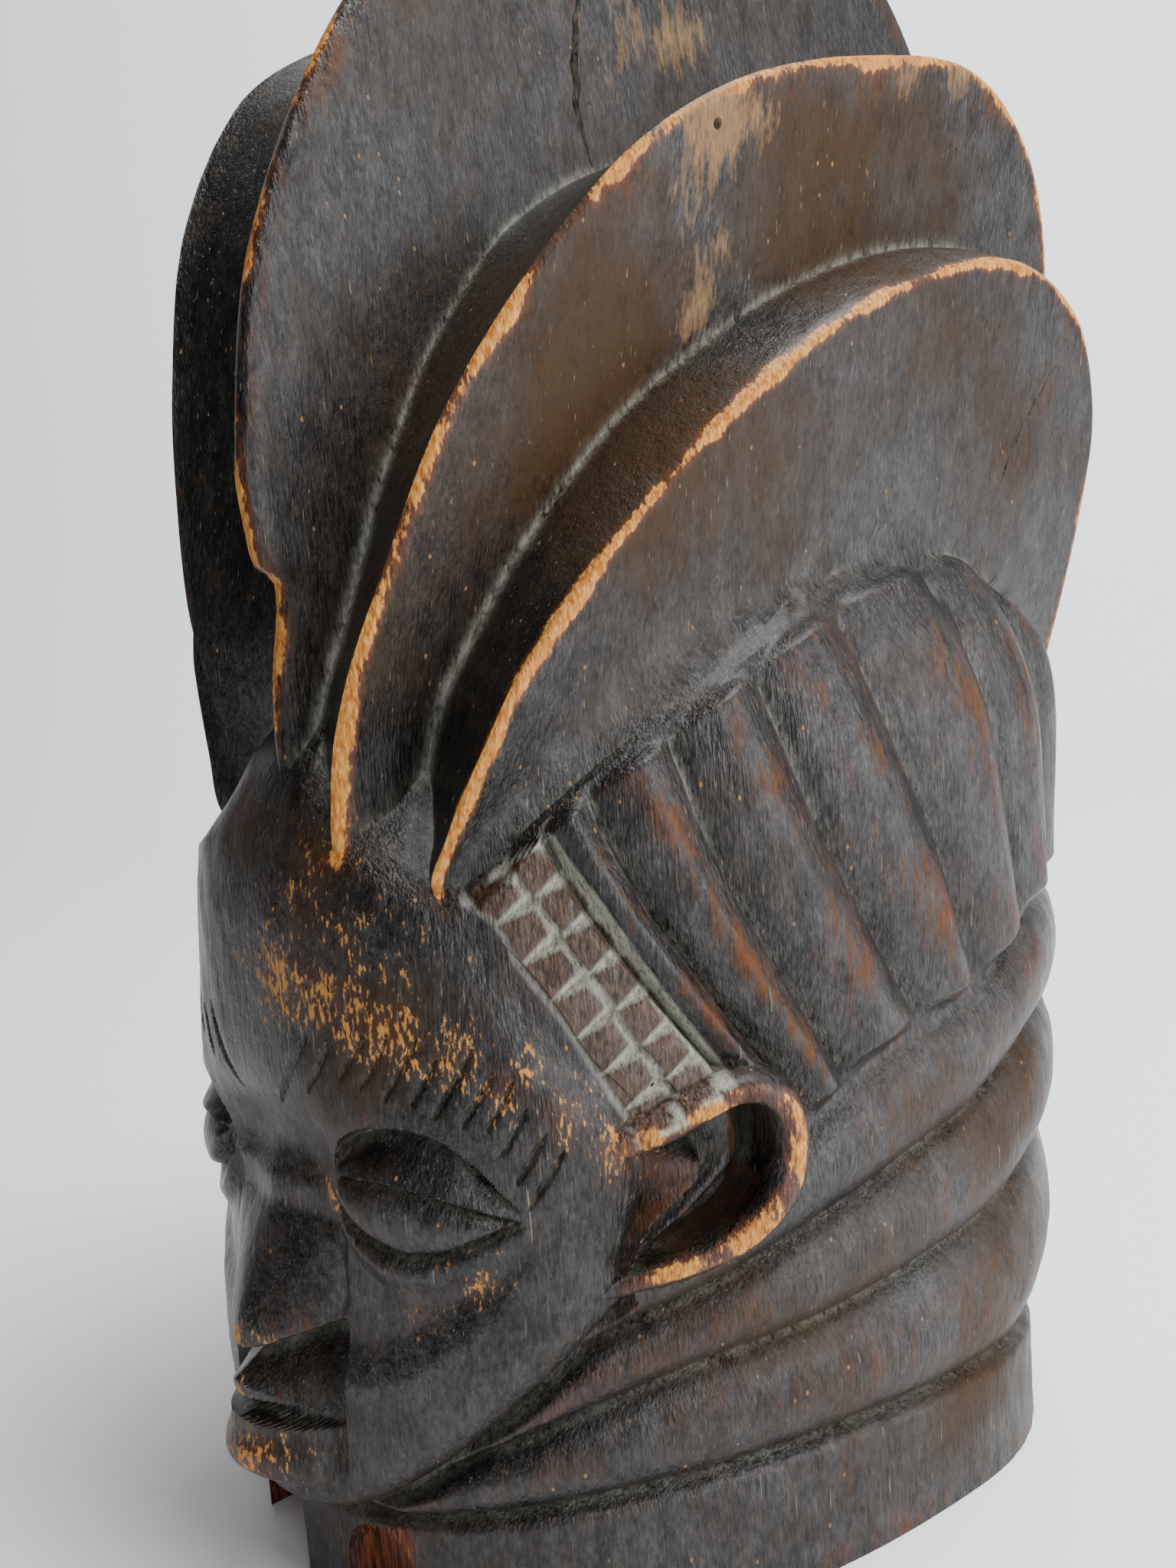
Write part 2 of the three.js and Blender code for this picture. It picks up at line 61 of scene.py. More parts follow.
# Carved lines round the head, [angle from the front, z]
RIM = [(0, 29), (21, 33), (50, 38), (75, 38), (90, 35), (108, 34), (180, 30)]
RING_LOW = [
    (0, 31), (8, 33), (15, 38), (28, 50), (39, 58), (57, 68), (75, 71), (97, 78), (113, 85), (180, 92),
]
RING_HIGH = [
    (0, 34), (15, 44), (30, 61), (45, 80), (63, 91), (79, 101), (90, 109), (113, 124), (180, 132),
]
NAPE = [
    (0, 46), (15, 57), (30, 74), (50, 98), (60, 106), (72, 123), (82, 136), (99, 147), (114, 158),
    (140, 164), (180, 166),
]
CREST_LINE = [
    (0, 214), (20, 204), (33, 195), (47, 219), (58, 233), (70, 247), (84, 260), (105, 268), (116, 262),
    (125, 244), (132, 226), (148, 212), (180, 206),
]
ROW_LINES = (RIM, RING_LOW, RING_HIGH, NAPE, CREST_LINE)

# The hair edge beside the face, [z, angle], and the line that the head grid's face columns end on
HAIRLINE = [
    (60, 50), (120, 51.5), (141, 52.5), (156, 48), (173, 44), (187, 39), (199, 33), (212, 24), (232, 4),
]
FACE_SIDE = [
    (0, 50), (120, 51), (141, 52.5), (156, 48), (173, 44), (187, 39), (199, 33), (215, 28), (240, 20),
]
FACE_TOP = 232  # where the face ends at the middle of the forehead
SIDE_START = 33  # angle where the grid's columns between face and pleats begin

# Pleats of the hair: their grooves at the height PLEAT_Z, and their lean in degrees per millimetre
PLEAT_Z = 200
GROOVES = np.array([47, 54, 65, 78, 90, 106, 121, 136, 151, 166, 181.0])
LEAN = [
    (30, 0.34), (47, 0.29), (54, 0.26), (65, 0.2), (79, 0.17), (89, 0.12), (107, 0.1), (140, 0.05),
    (180, 0),
]


def curve(points, x):
    """Smooth curve through [x, y] points: cubics between neighbours, each point's slope taken across it."""
    px = np.array([p[0] for p in points], float)
    py = np.array([p[1] for p in points], float)
    lean = np.empty_like(py)
    lean[1:-1] = (py[2:] - py[:-2]) / (px[2:] - px[:-2])
    lean[0] = (py[1] - py[0]) / (px[1] - px[0])
    lean[-1] = (py[-1] - py[-2]) / (px[-1] - px[-2])
    v = np.clip(x, px[0], px[-1])
    i = np.clip(np.searchsorted(px, v) - 1, 0, len(px) - 2)
    h = px[i + 1] - px[i]
    t = (v - px[i]) / h
    start = (2 * t**3 - 3 * t**2 + 1) * py[i] + (t**3 - 2 * t**2 + t) * h * lean[i]
    return start + (3 * t**2 - 2 * t**3) * py[i + 1] + (t**3 - t**2) * h * lean[i + 1]


def along(path, steps):
    """Both coordinates of the smooth curve through a list of pairs, numbered by their place in the list."""
    return [curve([(i, spot[k]) for i, spot in enumerate(path)], steps) for k in (0, 1)]


def smooth(a, b, v):
    """0 before a, 1 after b, and an S curve between; it also runs the other way when a is above b."""
    t = np.clip((v - a) / (b - a), 0, 1)
    return t * t * (3 - 2 * t)


def bell(v, width):
    """1 at v = 0, falling to nothing a few widths away."""
    return np.exp(-((v / width) ** 2))


def ripple(a, b, length, seed):
    """Gentle waves of about that length in millimetres, as a knife leaves: sums of turned sine waves."""
    rng = np.random.default_rng(seed)
    total = np.zeros(np.broadcast(a, b).shape)
    for _ in range(6):
        way = rng.uniform(0, 2 * math.pi)
        size = length * rng.uniform(0.7, 1.6)
        start = rng.uniform(0, 6.3)
        total += np.sin((a * math.cos(way) + b * math.sin(way)) * 2 * math.pi / size + start)
    return total / 6


def jaw_line(p):
    """Height of the face's lower edge at angle p from the front."""
    return 28 + 67 * (p / 50) ** 1.55


def dome(z):
    """How far the head closes in above the temples: a quarter of an ellipse with the DOME_POWER."""
    u = np.clip((z - DOME_START) / (TOP - DOME_START), 0, 1)
    return (1 - u**DOME_POWER) ** (1 / DOME_POWER)


def oval(phi, z, inset=0.0):
    """Point and outward direction of the plain head: an ellipse squared off by the SQUARENESS power."""
    s = np.sin(phi * DEG)
    c = np.cos(phi * DEG)
    a = curve(WIDE, z) - inset
    d = np.where(c > 0, curve(FRONT, z), curve(BACK, z)) - inset
    e = 2 / SQUARENESS
    x = a * np.sign(s) * np.abs(s) ** e
    y = -d * np.sign(c) * np.abs(c) ** e
    nx = np.sign(s) * np.abs(s) ** (2 - e) / a
    ny = -np.sign(c) * np.abs(c) ** (2 - e) / d
    size = np.hypot(nx, ny)
    return x, y, nx / size, ny / size


def stand_off(phi, z, h):
    """Points at an angle and height, standing h off the plain head."""
    phi, z, h = np.broadcast_arrays(phi, z, h)
    x, y, nx, ny = oval(phi, z)
    return np.stack([x + nx * h, y + ny * h, z], -1)


def neck_relief(p, z):
    """Rounded neck rings: a soft arch between neighbouring lines, with the grooves at the lines."""
    lines = [curve(line, p) for line in (RIM, RING_LOW, RING_HIGH, NAPE)]
    h = -3 * bell(z - lines[0], 2)
    for low, high in zip(lines[:-1], lines[1:]):
        u = np.clip((z - low) / np.maximum(high - low, 1), 0, 1)
        h = np.where(z >= low, 7.5 * (4 * u * (1 - u)) ** 0.7 - 5, h)
    under = z - jaw_line(np.minimum(p, 50))
    beside = (p <= 50) & (under <= 0)
    faded = h * smooth(-1, -6, under) - 3.5 * smooth(-8, 0, under)
    return np.where(beside & (z >= lines[0]), faded, h)


def pleat_place(p, z):
    """The angle at PLEAT_Z of the leaning line through a spot, found by steps, and the spot's share of the
    way across its pleat."""
    q = p.copy()
    for _ in range(6):
        q = p - curve(LEAN, q) * (PLEAT_Z - z)
    k = np.clip(np.searchsorted(GROOVES, q) - 1, 0, len(GROOVES) - 2)
    return q, np.clip((q - GROOVES[k]) / (GROOVES[k + 1] - GROOVES[k]), 0, 1)


def hair_relief(p, z):
    """Pleats: between neighbouring grooves half a circle mixed with a ridge that leans back, fading out at
    the nape and below the crest."""
    q, f = pleat_place(p, z)
    soft = (4 * f * (1 - f)) ** 0.5
    knifed = np.minimum(1, 1.15 * np.minimum(f / 0.62, (1 - f) / 0.38))
    round_fold = 6.8 * (0.45 * soft + 0.55 * knifed) - 4.2
    fold = np.where(q > GROOVES[0], round_fold, 0.5)
    crest = curve(CREST_LINE, p)
    arch = 3.5 * (1 - soft) * (q > GROOVES[0])
    ends = smooth(0, 7, z - curve(NAPE, p)) * smooth(0, 4, crest - arch - z)
    fold = fold * ends - 3 * (1 - ends)
    return np.where(z > crest, -3, fold)


def crest_drop(p, z):
    """How far the head falls away above the crest line: gently in front, steeply at the sides, a little
    behind."""
    up = np.maximum(z - curve(CREST_LINE, p), 0)
    forehead = 0.62 * smooth(4, 19, p) * up
    return np.where(p < 47, np.minimum(forehead + 14 * smooth(40, 47, p) * smooth(0, 14, up), 24),
                    (22 - 17 * smooth(112, 130, p)) * smooth(0, 14, up))


# Hatched band between face and pleats: its front and back edges at each crossing cut, [angle, z]
BAND_FRONT = [
    (33.2, 198.2), (38.5, 190.5), (41, 180.2), (44, 170.5), (46.5, 160.5), (48.8, 150.5), (51, 141),
    (53, 132),
]
BAND_BACK = [
    (44.2, 210.8), (47.5, 201.8), (50.8, 191.8), (53.5, 181.2), (56, 171.2), (58.5, 161), (61, 151),
    (63.5, 141),
]
BAND_MM = 20.6  # width of the band
CUT_MM = 11.0  # from one crossing cut to the next


def band_place(across, cut):
    """Angle and height of a spot in the band, across it from face to pleats and down it in cuts."""
    near, far = along(BAND_FRONT, cut), along(BAND_BACK, cut)
    return [a + across * (b - a) for a, b in zip(near, far)]


def band_grooves(p, z):
    """Depth of the band's V cuts, and where its blocks stand: a narrow middle line, a wide back border, a
    faint front border, and crossing cuts that widen away from the face in both columns."""
    cut = np.clip((204 - z) / 10, -1, 8)
    for _ in range(5):
        edge_p, edge_z = band_place(0.5, cut)
        cut = np.clip(cut + (edge_z + (p - edge_p) * 1.2 - z) / 10, -1, 8)
    front, back = band_place(0.0, cut), band_place(1.0, cut)
    across = (p - front[0]) / np.maximum(back[0] - front[0], 1)
    middle = 1.5 * np.clip(1 - np.abs(across - 0.5) * BAND_MM / 1.1, 0, 1)
    behind = 2.2 * np.clip(1 - np.abs((1 - across) * BAND_MM - 0.4) / 2.2, 0, 1)
    ahead = 0.5 * bell(across * BAND_MM, 0.8)
    half = 0.4 + 2.6 * ((across * 2) % 1) ** 0.8
    away = np.abs(cut - np.round(cut)) * CUT_MM
    cross = 0.85 * half * np.clip(1 - away / half, 0, 1)
    within = (across > 0.02) & (across < 0.98)
    deep = np.maximum(np.maximum(middle, behind), np.maximum(ahead, cross * within))
    length = smooth(-0.22, -0.08, cut) * smooth(7.05, 6.95, cut)
    return deep * (across > -0.2) * (across < 1.15) * length, within * length * (cut > 0)


# Inside the ear, [z, angle]: its front wall, the free edge of the flap over its opening, the ridge behind
EAR_FRONT = [(93, 46.7), (102, 47.8), (117, 49.9), (134, 51.3)]
EAR_FLAP = [
    (94, 47.5), (103, 50), (108, 51.4), (113.6, 53.2), (118, 56), (123, 58.4), (126, 58), (131, 53),
]
EAR_RIDGE = [(94, 48), (98, 49), (104, 53.1), (110, 56.8), (116, 60), (121, 62.5), (131, 63)]


def ear_relief(p, z):
    """Inside the ear: a flap rising from the face, a groove, a low ridge, and a deep hollow behind it."""
    front, flap, ridge = curve(EAR_FRONT, z), curve(EAR_FLAP, z), curve(EAR_RIDGE, z)
    round_ear = ((p - 57) * 1.8 / 21) ** 2 + ((z - 118 - 0.5 * (p - 57)) / 22) ** 2
    inside = smooth(1.1, 0.95, round_ear) * smooth(-0.3, 0.3, p - front)
    lifted = -2.5 + 7.5 * np.clip((p - front) / np.maximum(flap - front, 1), 0, 1) ** 0.8
    slope = np.clip((p - flap) / np.maximum(ridge - flap, 1), 0, 1)
    groove = 5 - 12 * smooth(0, 0.25, slope) + 5 * smooth(0.3, 1, slope)
    hollow = -2 - 9 * smooth(0, 4.5, p - ridge)
    h = np.where(p < flap, lifted, np.where(p < ridge, groove, hollow))
    return inside * h


# Knife strokes over each brow: middle as [angle, z], and half length in millimetres
STROKES = [
    (7.3, 153, 13), (12.4, 155, 8), (17.7, 158.7, 8), (21.1, 157.7, 8), (24.6, 156, 9.5),
    (27.6, 153, 7.5), (31.5, 153, 10.7), (34.1, 148.7, 8.2), (36.6, 146.4, 7.2), (37.9, 140.1, 7),
    (39.5, 133.2, 7), (40.9, 127.5, 8.3),
]


def brow_scars(p, z):
    """A row of slanted knife strokes over each brow: each a narrow spindle, deepest in the middle."""
    h = np.zeros_like(p)
    for at, rise, length in STROKES:
        side = (p - at) * 2.1
        up = z - rise
        t = (side * 0.58 + up * 0.81) / length
        off = side * 0.81 - up * 0.58
        width = 1.3 * np.sqrt(np.clip(1 - t * t, 0, 1)) + 0.01
        h -= 1.4 * np.clip(1 - np.abs(off) / width, 0, 1) * (np.abs(t) < 1)
    return h


# The eye's carved lines, [angle, z]: the brow's lower edge, the lid's edge, the ball's lower line, the rim
EYE_BROW = [
    (11.5, 126), (12.6, 132), (15, 137.5), (19, 141), (23.2, 141.8), (27.8, 140), (31.8, 133.8),
    (35.2, 125.5), (38.6, 117.3),
]
EYE_LID = [
    (11.5, 125.8), (15, 127.3), (19.8, 127.6), (24, 126.4), (28, 124.2), (31, 122.2), (35, 119.3),
    (38.6, 117.1),
]
EYE_LOW = [
    (11.5, 125.6), (12.6, 121), (14.2, 116.6), (16.8, 111.6), (20, 109), (23.5, 107.8), (27.8, 109),
    (31.5, 112), (35, 115.2), (38.6, 116.9),
]
EYE_RIM = [
    (11.5, 118), (13.5, 111), (16.5, 105.5), (20, 102.3), (24, 101.8), (28.5, 103.6), (33, 107.5),
    (38.6, 113.5),
]


def eye_relief(p, z):
    """Heavy lidded eye: under the brow's sharp edge a hollow, then the lid down to its edge, a narrow
    slit, and a full ball in a deep cut line with a low rim beneath."""
    brow, lid = curve(EYE_BROW, p), curve(EYE_LID, p)
    low, rim = curve(EYE_LOW, p), curve(EYE_RIM, p)
    within = (p > 11.5) & (p < 38.6)
    inner = smooth(34, 16, p)
    ends = smooth(11.5, 14, p) * smooth(38.6, 33, p)
    up = np.clip((z - lid) / np.maximum(brow - lid, 0.5), 0, 1)
    lid_plane = 1.4 * (1 - up) ** 2 - (2.4 + 2.6 * inner) * smooth(0, 0.75, up)
    hollow = 1.6 * bell(up - 0.84, 0.1) + 1.8 * inner * bell(up - 0.6, 0.25)
    upper = (lid_plane - hollow) * ends
    down = np.clip((lid - 0.8 - z) / np.maximum(lid - 0.8 - low, 0.5), 0, 1)
    ball = (4.8 * (4 * down * (1 - down)) ** 0.45 - 2.6) * ends
    below = np.clip((low - z) / np.maximum(low - rim, 0.5), 0, 1)
    ledge = -(1.6 + 1.2 * inner) * (1 - below) * ends
    closed = smooth(lid + 0.4, lid - 1.2, z)
    h = np.where(z > low, upper * (1 - closed) + ball * closed, np.where(z > rim, ledge, 0))
    h = np.where(z > brow, 0, h)
    deep_side = smooth(24, 14, p)
    cut = (2.2 + 1.6 * deep_side) * bell(z - low, 1.1 + 1.1 * deep_side)
    h = h - cut * smooth(11.5, 12.5, p) * smooth(38.6, 35, p)
    return np.where(within, h, 0)


# How far the nose's ridge stands off the face plate, [z, millimetres]
NOSE_RIDGE = [
    (70, 12.5), (76, 14.2), (81, 14.8), (85, 14.1), (90, 12), (96, 9.2), (102, 6.2), (109, 3.2),
    (116, 1), (130, 0.5), (150, 0),
]


def face_relief(p, z, x):
    """Face plate with brow, sockets, a straight wedge nose, a mouth bed, beak lips and a round chin."""
    ax = np.abs(x)
    t = np.clip((z - jaw_line(p)) / 15, 0, 1)
    plate = 8 * np.sqrt(1 - (1 - t) ** 2) * (1 - 0.8 * smooth(120, 190, z))
    h = plate * smooth(0, 10, curve(HAIRLINE, z) - p)
    h = h - 4.4 * bell(ax - 17, 11) * bell(z - 124, 14) - 7 * bell(x, 24) * bell(z - 131, 13)
    wing = 0.46 * np.maximum(ax - 4, 0)
    under = smooth(75.5 + wing, 78 + wing, z)
    h = h - 8 * smooth(25.8, 24.2, ax) * smooth(36, 56, z) * (1 - under)
    cheek = curve([(10, 73), (18.2, 77), (24.8, 84), (31.8, 94), (36.2, 100.8), (40, 110)], p)
    rim = curve(EYE_RIM, p)
    h = h - 3.2 * smooth(-6, 9, z - cheek) * smooth(rim + 3, rim - 7, z) * smooth(40, 31, p)
    h = h + 5 * bell(x, 22) * bell(z - 38, 9)
    ridge = curve(NOSE_RIDGE, z)
    half = curve([(72, 22), (78, 25), (112, 25), (128, 20), (144, 10)], z)
    blunt = np.sqrt(ax**2 + 2.6**2) - 2.6
    nose = ridge * np.clip(1 - blunt / (half - 1.5), 0, 1) ** 0.9 * under
    nose = np.where(z < 150, nose, 0)
    h = h - 1.6 * bell(ax - 25, 1.3) * smooth(86, 92, z) * smooth(128, 116, z)
    taper = np.clip(1 - (np.sqrt(ax**2 + 2.4**2) - 2.4) / 22.2, 0, 1)
    crease, lip_edge = 69 - 0.42 * ax, 63.5 - 0.16 * ax
    sloped = np.where(z > crease, np.clip(1 - (z - crease) / 15, 0, 1), 1 - 0.012 * (crease - z))
    upper = 21 * taper**0.8 * sloped * smooth(lip_edge - 0.6, lip_edge + 0.9, z)
    full = np.clip(1 - (ax / 25) ** 2, 0, 1)
    top = 60.3 - 0.12 * ax
    beneath = np.clip(1 - ((52 - z) / 13) ** 2, 0, 1)
    lower = 20.5 * full * np.where(z > 52, smooth(top + 0.7, top - 1.6, z), beneath)
    gap = 12 * full * smooth(top + 4, top + 2, z) * (z > 52)
    lips = np.maximum(np.maximum(upper, lower), gap)
    h = h + np.maximum(nose, lips)
    h = h + eye_relief(p, z)
    return h + brow_scars(p, z)


def head_points(phi, z):
    """The head with all its carving, and fine knife ripple over it."""
    p = np.abs(phi)
    x, y, nx, ny = oval(phi, z)
    scale = dome(z)
    on_face = (z < FACE_TOP) & (p < curve(HAIRLINE, z)) & (z > jaw_line(p))
    h = np.where(z > curve(NAPE, p), hair_relief(p, z), neck_relief(p, z))
    h = np.where(on_face, face_relief(p, z, x * scale), h) - crest_drop(p, z)
    h = h - band_grooves(p, z)[0] + ear_relief(p, z)
    h = h + 0.25 * ripple(phi * 1.9, z, 14, 3) + 0.12 * ripple(phi * 1.9, z, 5, 4)
    return np.stack([(x + nx * h) * scale, (y + ny * h) * scale, z], -1)


def skin(rings):
    """Triangles and points of a closed body from rings of equal length, each end closed by a fan."""
    rows, n = rings.shape[:2]
    points = rings.reshape(-1, 3)
    r, i = np.meshgrid(np.arange(rows - 1), np.arange(n), indexing="ij")
    a = (r * n + i).ravel()
    b = (r * n + (i + 1) % n).ravel()
    sides = np.concatenate([np.stack([a, b, b + n], 1), np.stack([a, b + n, a + n], 1)])
    first = len(points)
    last = (rows - 1) * n
    i = np.arange(n)
    j = (i + 1) % n
    bottom = np.stack([np.full(n, first), j, i], 1)
    top = np.stack([np.full(n, first + 1), last + i, last + j], 1)
    points = np.concatenate([points, rings[0].mean(0)[None], rings[-1].mean(0)[None]])
    faces = np.concatenate([sides, bottom, top])
    corner = points[faces]
    volume = np.einsum("ij,ij->", corner[:, 0], np.cross(corner[:, 1], corner[:, 2]))
    return points, faces if volume > 0 else faces[:, ::-1]


def solid(name, rings):
    """A mesh object in metres in the row frame from closed rings in millimetres."""
    points, faces = skin(rings)
    mesh = bpy.data.meshes.new(name)
    mesh.vertices.add(len(points))
    mesh.vertices.foreach_set("co", ((points + [0, SHIFT_Y, 0]) * MM).ravel())
    mesh.loops.add(faces.size)
    mesh.loops.foreach_set("vertex_index", faces.ravel())
    mesh.polygons.add(len(faces))
    mesh.polygons.foreach_set("loop_start", np.arange(0, faces.size, 3))
    mesh.polygons.foreach_set("loop_total", np.full(len(faces), 3))
    mesh.update(calc_edges=True)
    mesh.validate()
    piece = bpy.data.objects.new(name, mesh)
    bpy.context.scene.collection.objects.link(piece)
    return piece


def settle(piece):
    """Bakes the piece's modifiers into its mesh."""
    graph = bpy.context.evaluated_depsgraph_get()
    mesh = bpy.data.meshes.new_from_object(piece.evaluated_get(graph))
    piece.modifiers.clear()
    piece.data = mesh


def carve(piece, tool, how):
    """Joins the tool to the piece or cuts it away, and removes the tool."""
    cut = piece.modifiers.new("carve", "BOOLEAN")
    cut.operation = how
    cut.solver = "MANIFOLD"
    cut.object = tool
    settle(piece)
    bpy.data.objects.remove(tool)


def head_columns():
    """Column settings: share of the face's width, then pleat angle, from the front round to the back."""
    face = 170
    folds = [20 if a < 60 else 10 for a in GROOVES[:-1]]
    share = np.arange(face) / face
    side = np.linspace(SIDE_START, GROOVES[0], 16)[:-1]
    folds = [np.linspace(a, b, n + 1)[:-1] for a, b, n in zip(GROOVES[:-1], GROOVES[1:], folds)]
    pleat = np.concatenate([side, *folds])
    return share, pleat[pleat < 179]


def head_rings():
    """The head's grid: columns follow the hair edge and the leaning pleats, rows the carved lines."""
    share, pleat = head_columns()
    zones = [(0, 22), (1, 16), (2, 16), (3, 16), (4, 210), (5, 22)]
    zone = np.concatenate([np.full(count, k) for k, count in zones])
    f = np.concatenate([(np.arange(count) + 1) / count for _, count in zones])
    f = np.where(zone == 5, np.sin(f * 0.985 * 90 * DEG), f)
    f = np.where(zone == 4, np.interp(f, [0, 0.72, 1], [0, 0.58, 1]), f)
    zone = np.concatenate([[0], zone])[:, None]
    f = np.concatenate([[0], f])[:, None]
    z = np.full((len(f), len(share) + len(pleat)), 150.0)
    for _ in range(14):
        face = share * curve(FACE_SIDE, z[:, : len(share)])
        zz = z[:, len(share):]
        held = np.clip(zz, 135, 240)
        own = pleat + curve(LEAN, pleat) * (PLEAT_Z - held)
        first = GROOVES[0] + curve(LEAN, GROOVES[0]) * (PLEAT_Z - held)
        mix = np.clip((pleat - SIDE_START) / (GROOVES[0] - SIDE_START), 0, 1)
        own = np.where(pleat < GROOVES[0], (1 - mix) * curve(FACE_SIDE, zz) + mix * first, own)
        phi = np.concatenate([face, own], 1)
        lines = [np.zeros_like(phi), *[curve(line, phi) for line in ROW_LINES], np.full_like(phi, TOP)]
        lines = np.stack(lines)
        rows = np.arange(len(f))[:, None]
        cols = np.arange(phi.shape[1])[None]
        low = lines[zone, rows, cols]
        high = lines[zone + 1, rows, cols]
        z = 0.5 * z + 0.5 * (low + f * (high - low))
    back = np.full((len(f), 1), 180.0)
    back_lines = np.array([0.0, *[line[-1][1] for line in ROW_LINES], TOP])
    back_z = back_lines[zone] + f * (back_lines[zone + 1] - back_lines[zone])
    phi = np.concatenate([phi, back, -phi[:, :0:-1]], 1)
    z = np.concatenate([z, back_z, z[:, :0:-1]], 1)
    return head_points(phi, z)


def hollow_rings():
    """The inside: the plain head less the wall, closing in towards its own top, with adze facets."""
    rows, columns = 46, 120
    z = HOLLOW_TOP * np.sin(np.linspace(0, 0.955, rows)[:, None] * 90 * DEG)
    z[0] = -5
    z = z + np.zeros((1, columns))
    phi = np.zeros((rows, 1)) + np.arange(columns) * 360 / columns
    u = np.clip((z - HOLLOW_START) / (HOLLOW_TOP - HOLLOW_START), 0, 1)
    scale = (1 - u**HOLLOW_POWER) ** (1 / HOLLOW_POWER)
    facet = 0.8 * np.abs(ripple(phi * 1.7, z, 46, 11)) + 0.5 * np.abs(ripple(phi * 1.7, z, 28, 12))
    x, y, nx, ny = oval(phi, z, WALL - 0.2)
    return np.stack([(x - nx * facet) * scale, (y - ny * facet) * scale, z], -1)


# Crest lobes: each one's outer edge as [y, z]
OUTER_EDGE = [
    (-122, 184), (-131, 194), (-134.7, 201.5), (-131.6, 210.6), (-128.5, 223), (-123, 237),
    (-114.8, 250.6), (-88, 279), (-52, 308), (-12, 331), (30, 344), (66, 345), (95, 330), (109, 302),
    (109, 272), (104, 241), (97, 212),
]
OUTER_FAR_EDGE = [
    (-120, 194), (-129, 204), (-132, 212), (-131.3, 225), (-130.5, 244), (-129, 256), (-124, 268),
    (-90, 297), (-52, 318), (-12, 336), (30, 347), (66, 347), (95, 331), (109, 302), (109, 272),
    (104, 241), (97, 212),
]
INNER_EDGE = [
    (-132, 190), (-142, 200), (-147, 210), (-146.3, 221.5), (-144, 238), (-140.7, 253), (-135, 269),
    (-113, 319), (-70, 369), (-30, 392), (20, 402), (65, 402), (97, 383), (116, 350), (122, 310),
    (123, 265), (121, 230), (117, 208),
]
INNER_FAR_EDGE = [
    (-124, 200), (-134, 210), (-137.8, 218), (-139, 233), (-140.5, 248), (-141.3, 262), (-140.8, 273),
    (-137, 298), (-130, 330), (-115, 373), (-88, 411), (-60, 429), (-20, 440), (30, 440), (75, 425),
    (105, 395), (122, 350), (126, 310), (125, 265), (121, 230), (117, 208),
]
MIDDLE_EDGE = [
    (-132, 206), (-141, 214), (-144, 222.3), (-144.4, 234), (-142.4, 251), (-138.4, 268), (-138, 276.5),
    (-142.5, 279), (-144, 288), (-144, 306), (-130, 362), (-92, 424), (-50, 458), (0, 477), (50, 483),
    (100, 474), (131, 450), (148, 410), (150, 360), (143, 310), (135, 265), (130, 230), (124, 206),
]

# How far the ledge behind each edge rises or falls on its way to its neighbour, [share of the edge, mm]
OUTER_RISE = [(0, -10), (0.1, -10), (0.17, -5), (0.26, 3), (0.36, 9), (1, 9)]
INNER_RISE = [(0, -9), (0.1, -11), (0.15, -15), (0.24, -18), (0.45, -14), (1, -12)]

# Each lobe: its edge, its sheet's x at height z with its fan in mm per mm, its foot's bend, what its ledge
# runs in to, the ledge's rise, and its edge's rounding
LOBES = {
    "outer": dict(
        edge=OUTER_EDGE, x=62, fan=0.2, z=200, foot=-6.5, inner=24, rise=OUTER_RISE, soft=2.4),
    "outer_far": dict(
        edge=OUTER_FAR_EDGE, x=-54, fan=-0.22, z=205, foot=0, inner=-24, rise=OUTER_RISE, soft=2.4),
    "inner": dict(
        edge=INNER_EDGE, x=29, fan=0.25, z=215, foot=6, inner="middle", rise=INNER_RISE, soft=3.8),
    "inner_far": dict(
        edge=INNER_FAR_EDGE, x=-29, fan=-0.25, z=215, foot=0, inner="middle", rise=INNER_RISE, soft=2.8),
    "middle": dict(
        edge=MIDDLE_EDGE, x=7, fan=-0.08, z=215, foot=0, inner=None, rise=None, soft=3.4),
}
ROOT = np.array([-10.0, 215.0])  # y and z of the place that the lobes spread from


def edge_path(edge, count):
    """Even steps along the smooth line through the edge's points."""
    points = np.array(edge, float)
    far = np.concatenate([[0], np.cumsum(np.hypot(*np.diff(points, axis=0).T))])
    s = np.linspace(0, far[-1], count)
    return np.stack([curve(list(zip(far, points[:, k])), s) for k in (0, 1)], -1)


def sheet_x(lobe, y, z):
    """The leaning sheet that a lobe's edge lies in; in front its foot bends to meet the forehead."""
    bend = smooth(240, 203, z) * smooth(-85, -125, y)
    return lobe["x"] + lobe["fan"] * (z - lobe["z"]) + lobe["foot"] * bend


def flare(lobe, y, z):
    """How far an outer lobe's face swells out near its foot to lie flush with the side of the head."""
    if lobe["inner"] is None or lobe["inner"] == "middle":
        return 0 * y
    d = np.maximum(np.where(y < 0, curve(FRONT, z), curve(BACK, z)) * dome(z), 0.001)
    across = np.clip(1 - (np.abs(y) / d) ** SQUARENESS, 0, 1) ** (1 / SQUARENESS)
    gap = curve(WIDE, z) * dome(z) * across - 6.8 - np.abs(sheet_x(lobe, y, z))
    foot = np.where(y < 0, 205 + 57 * smooth(-125, -20, y), 262 - 30 * smooth(60, 110, y))
    return np.clip(gap, 0, 14) * smooth(foot + 40, foot + 4, z) * smooth(-134, -120, y)


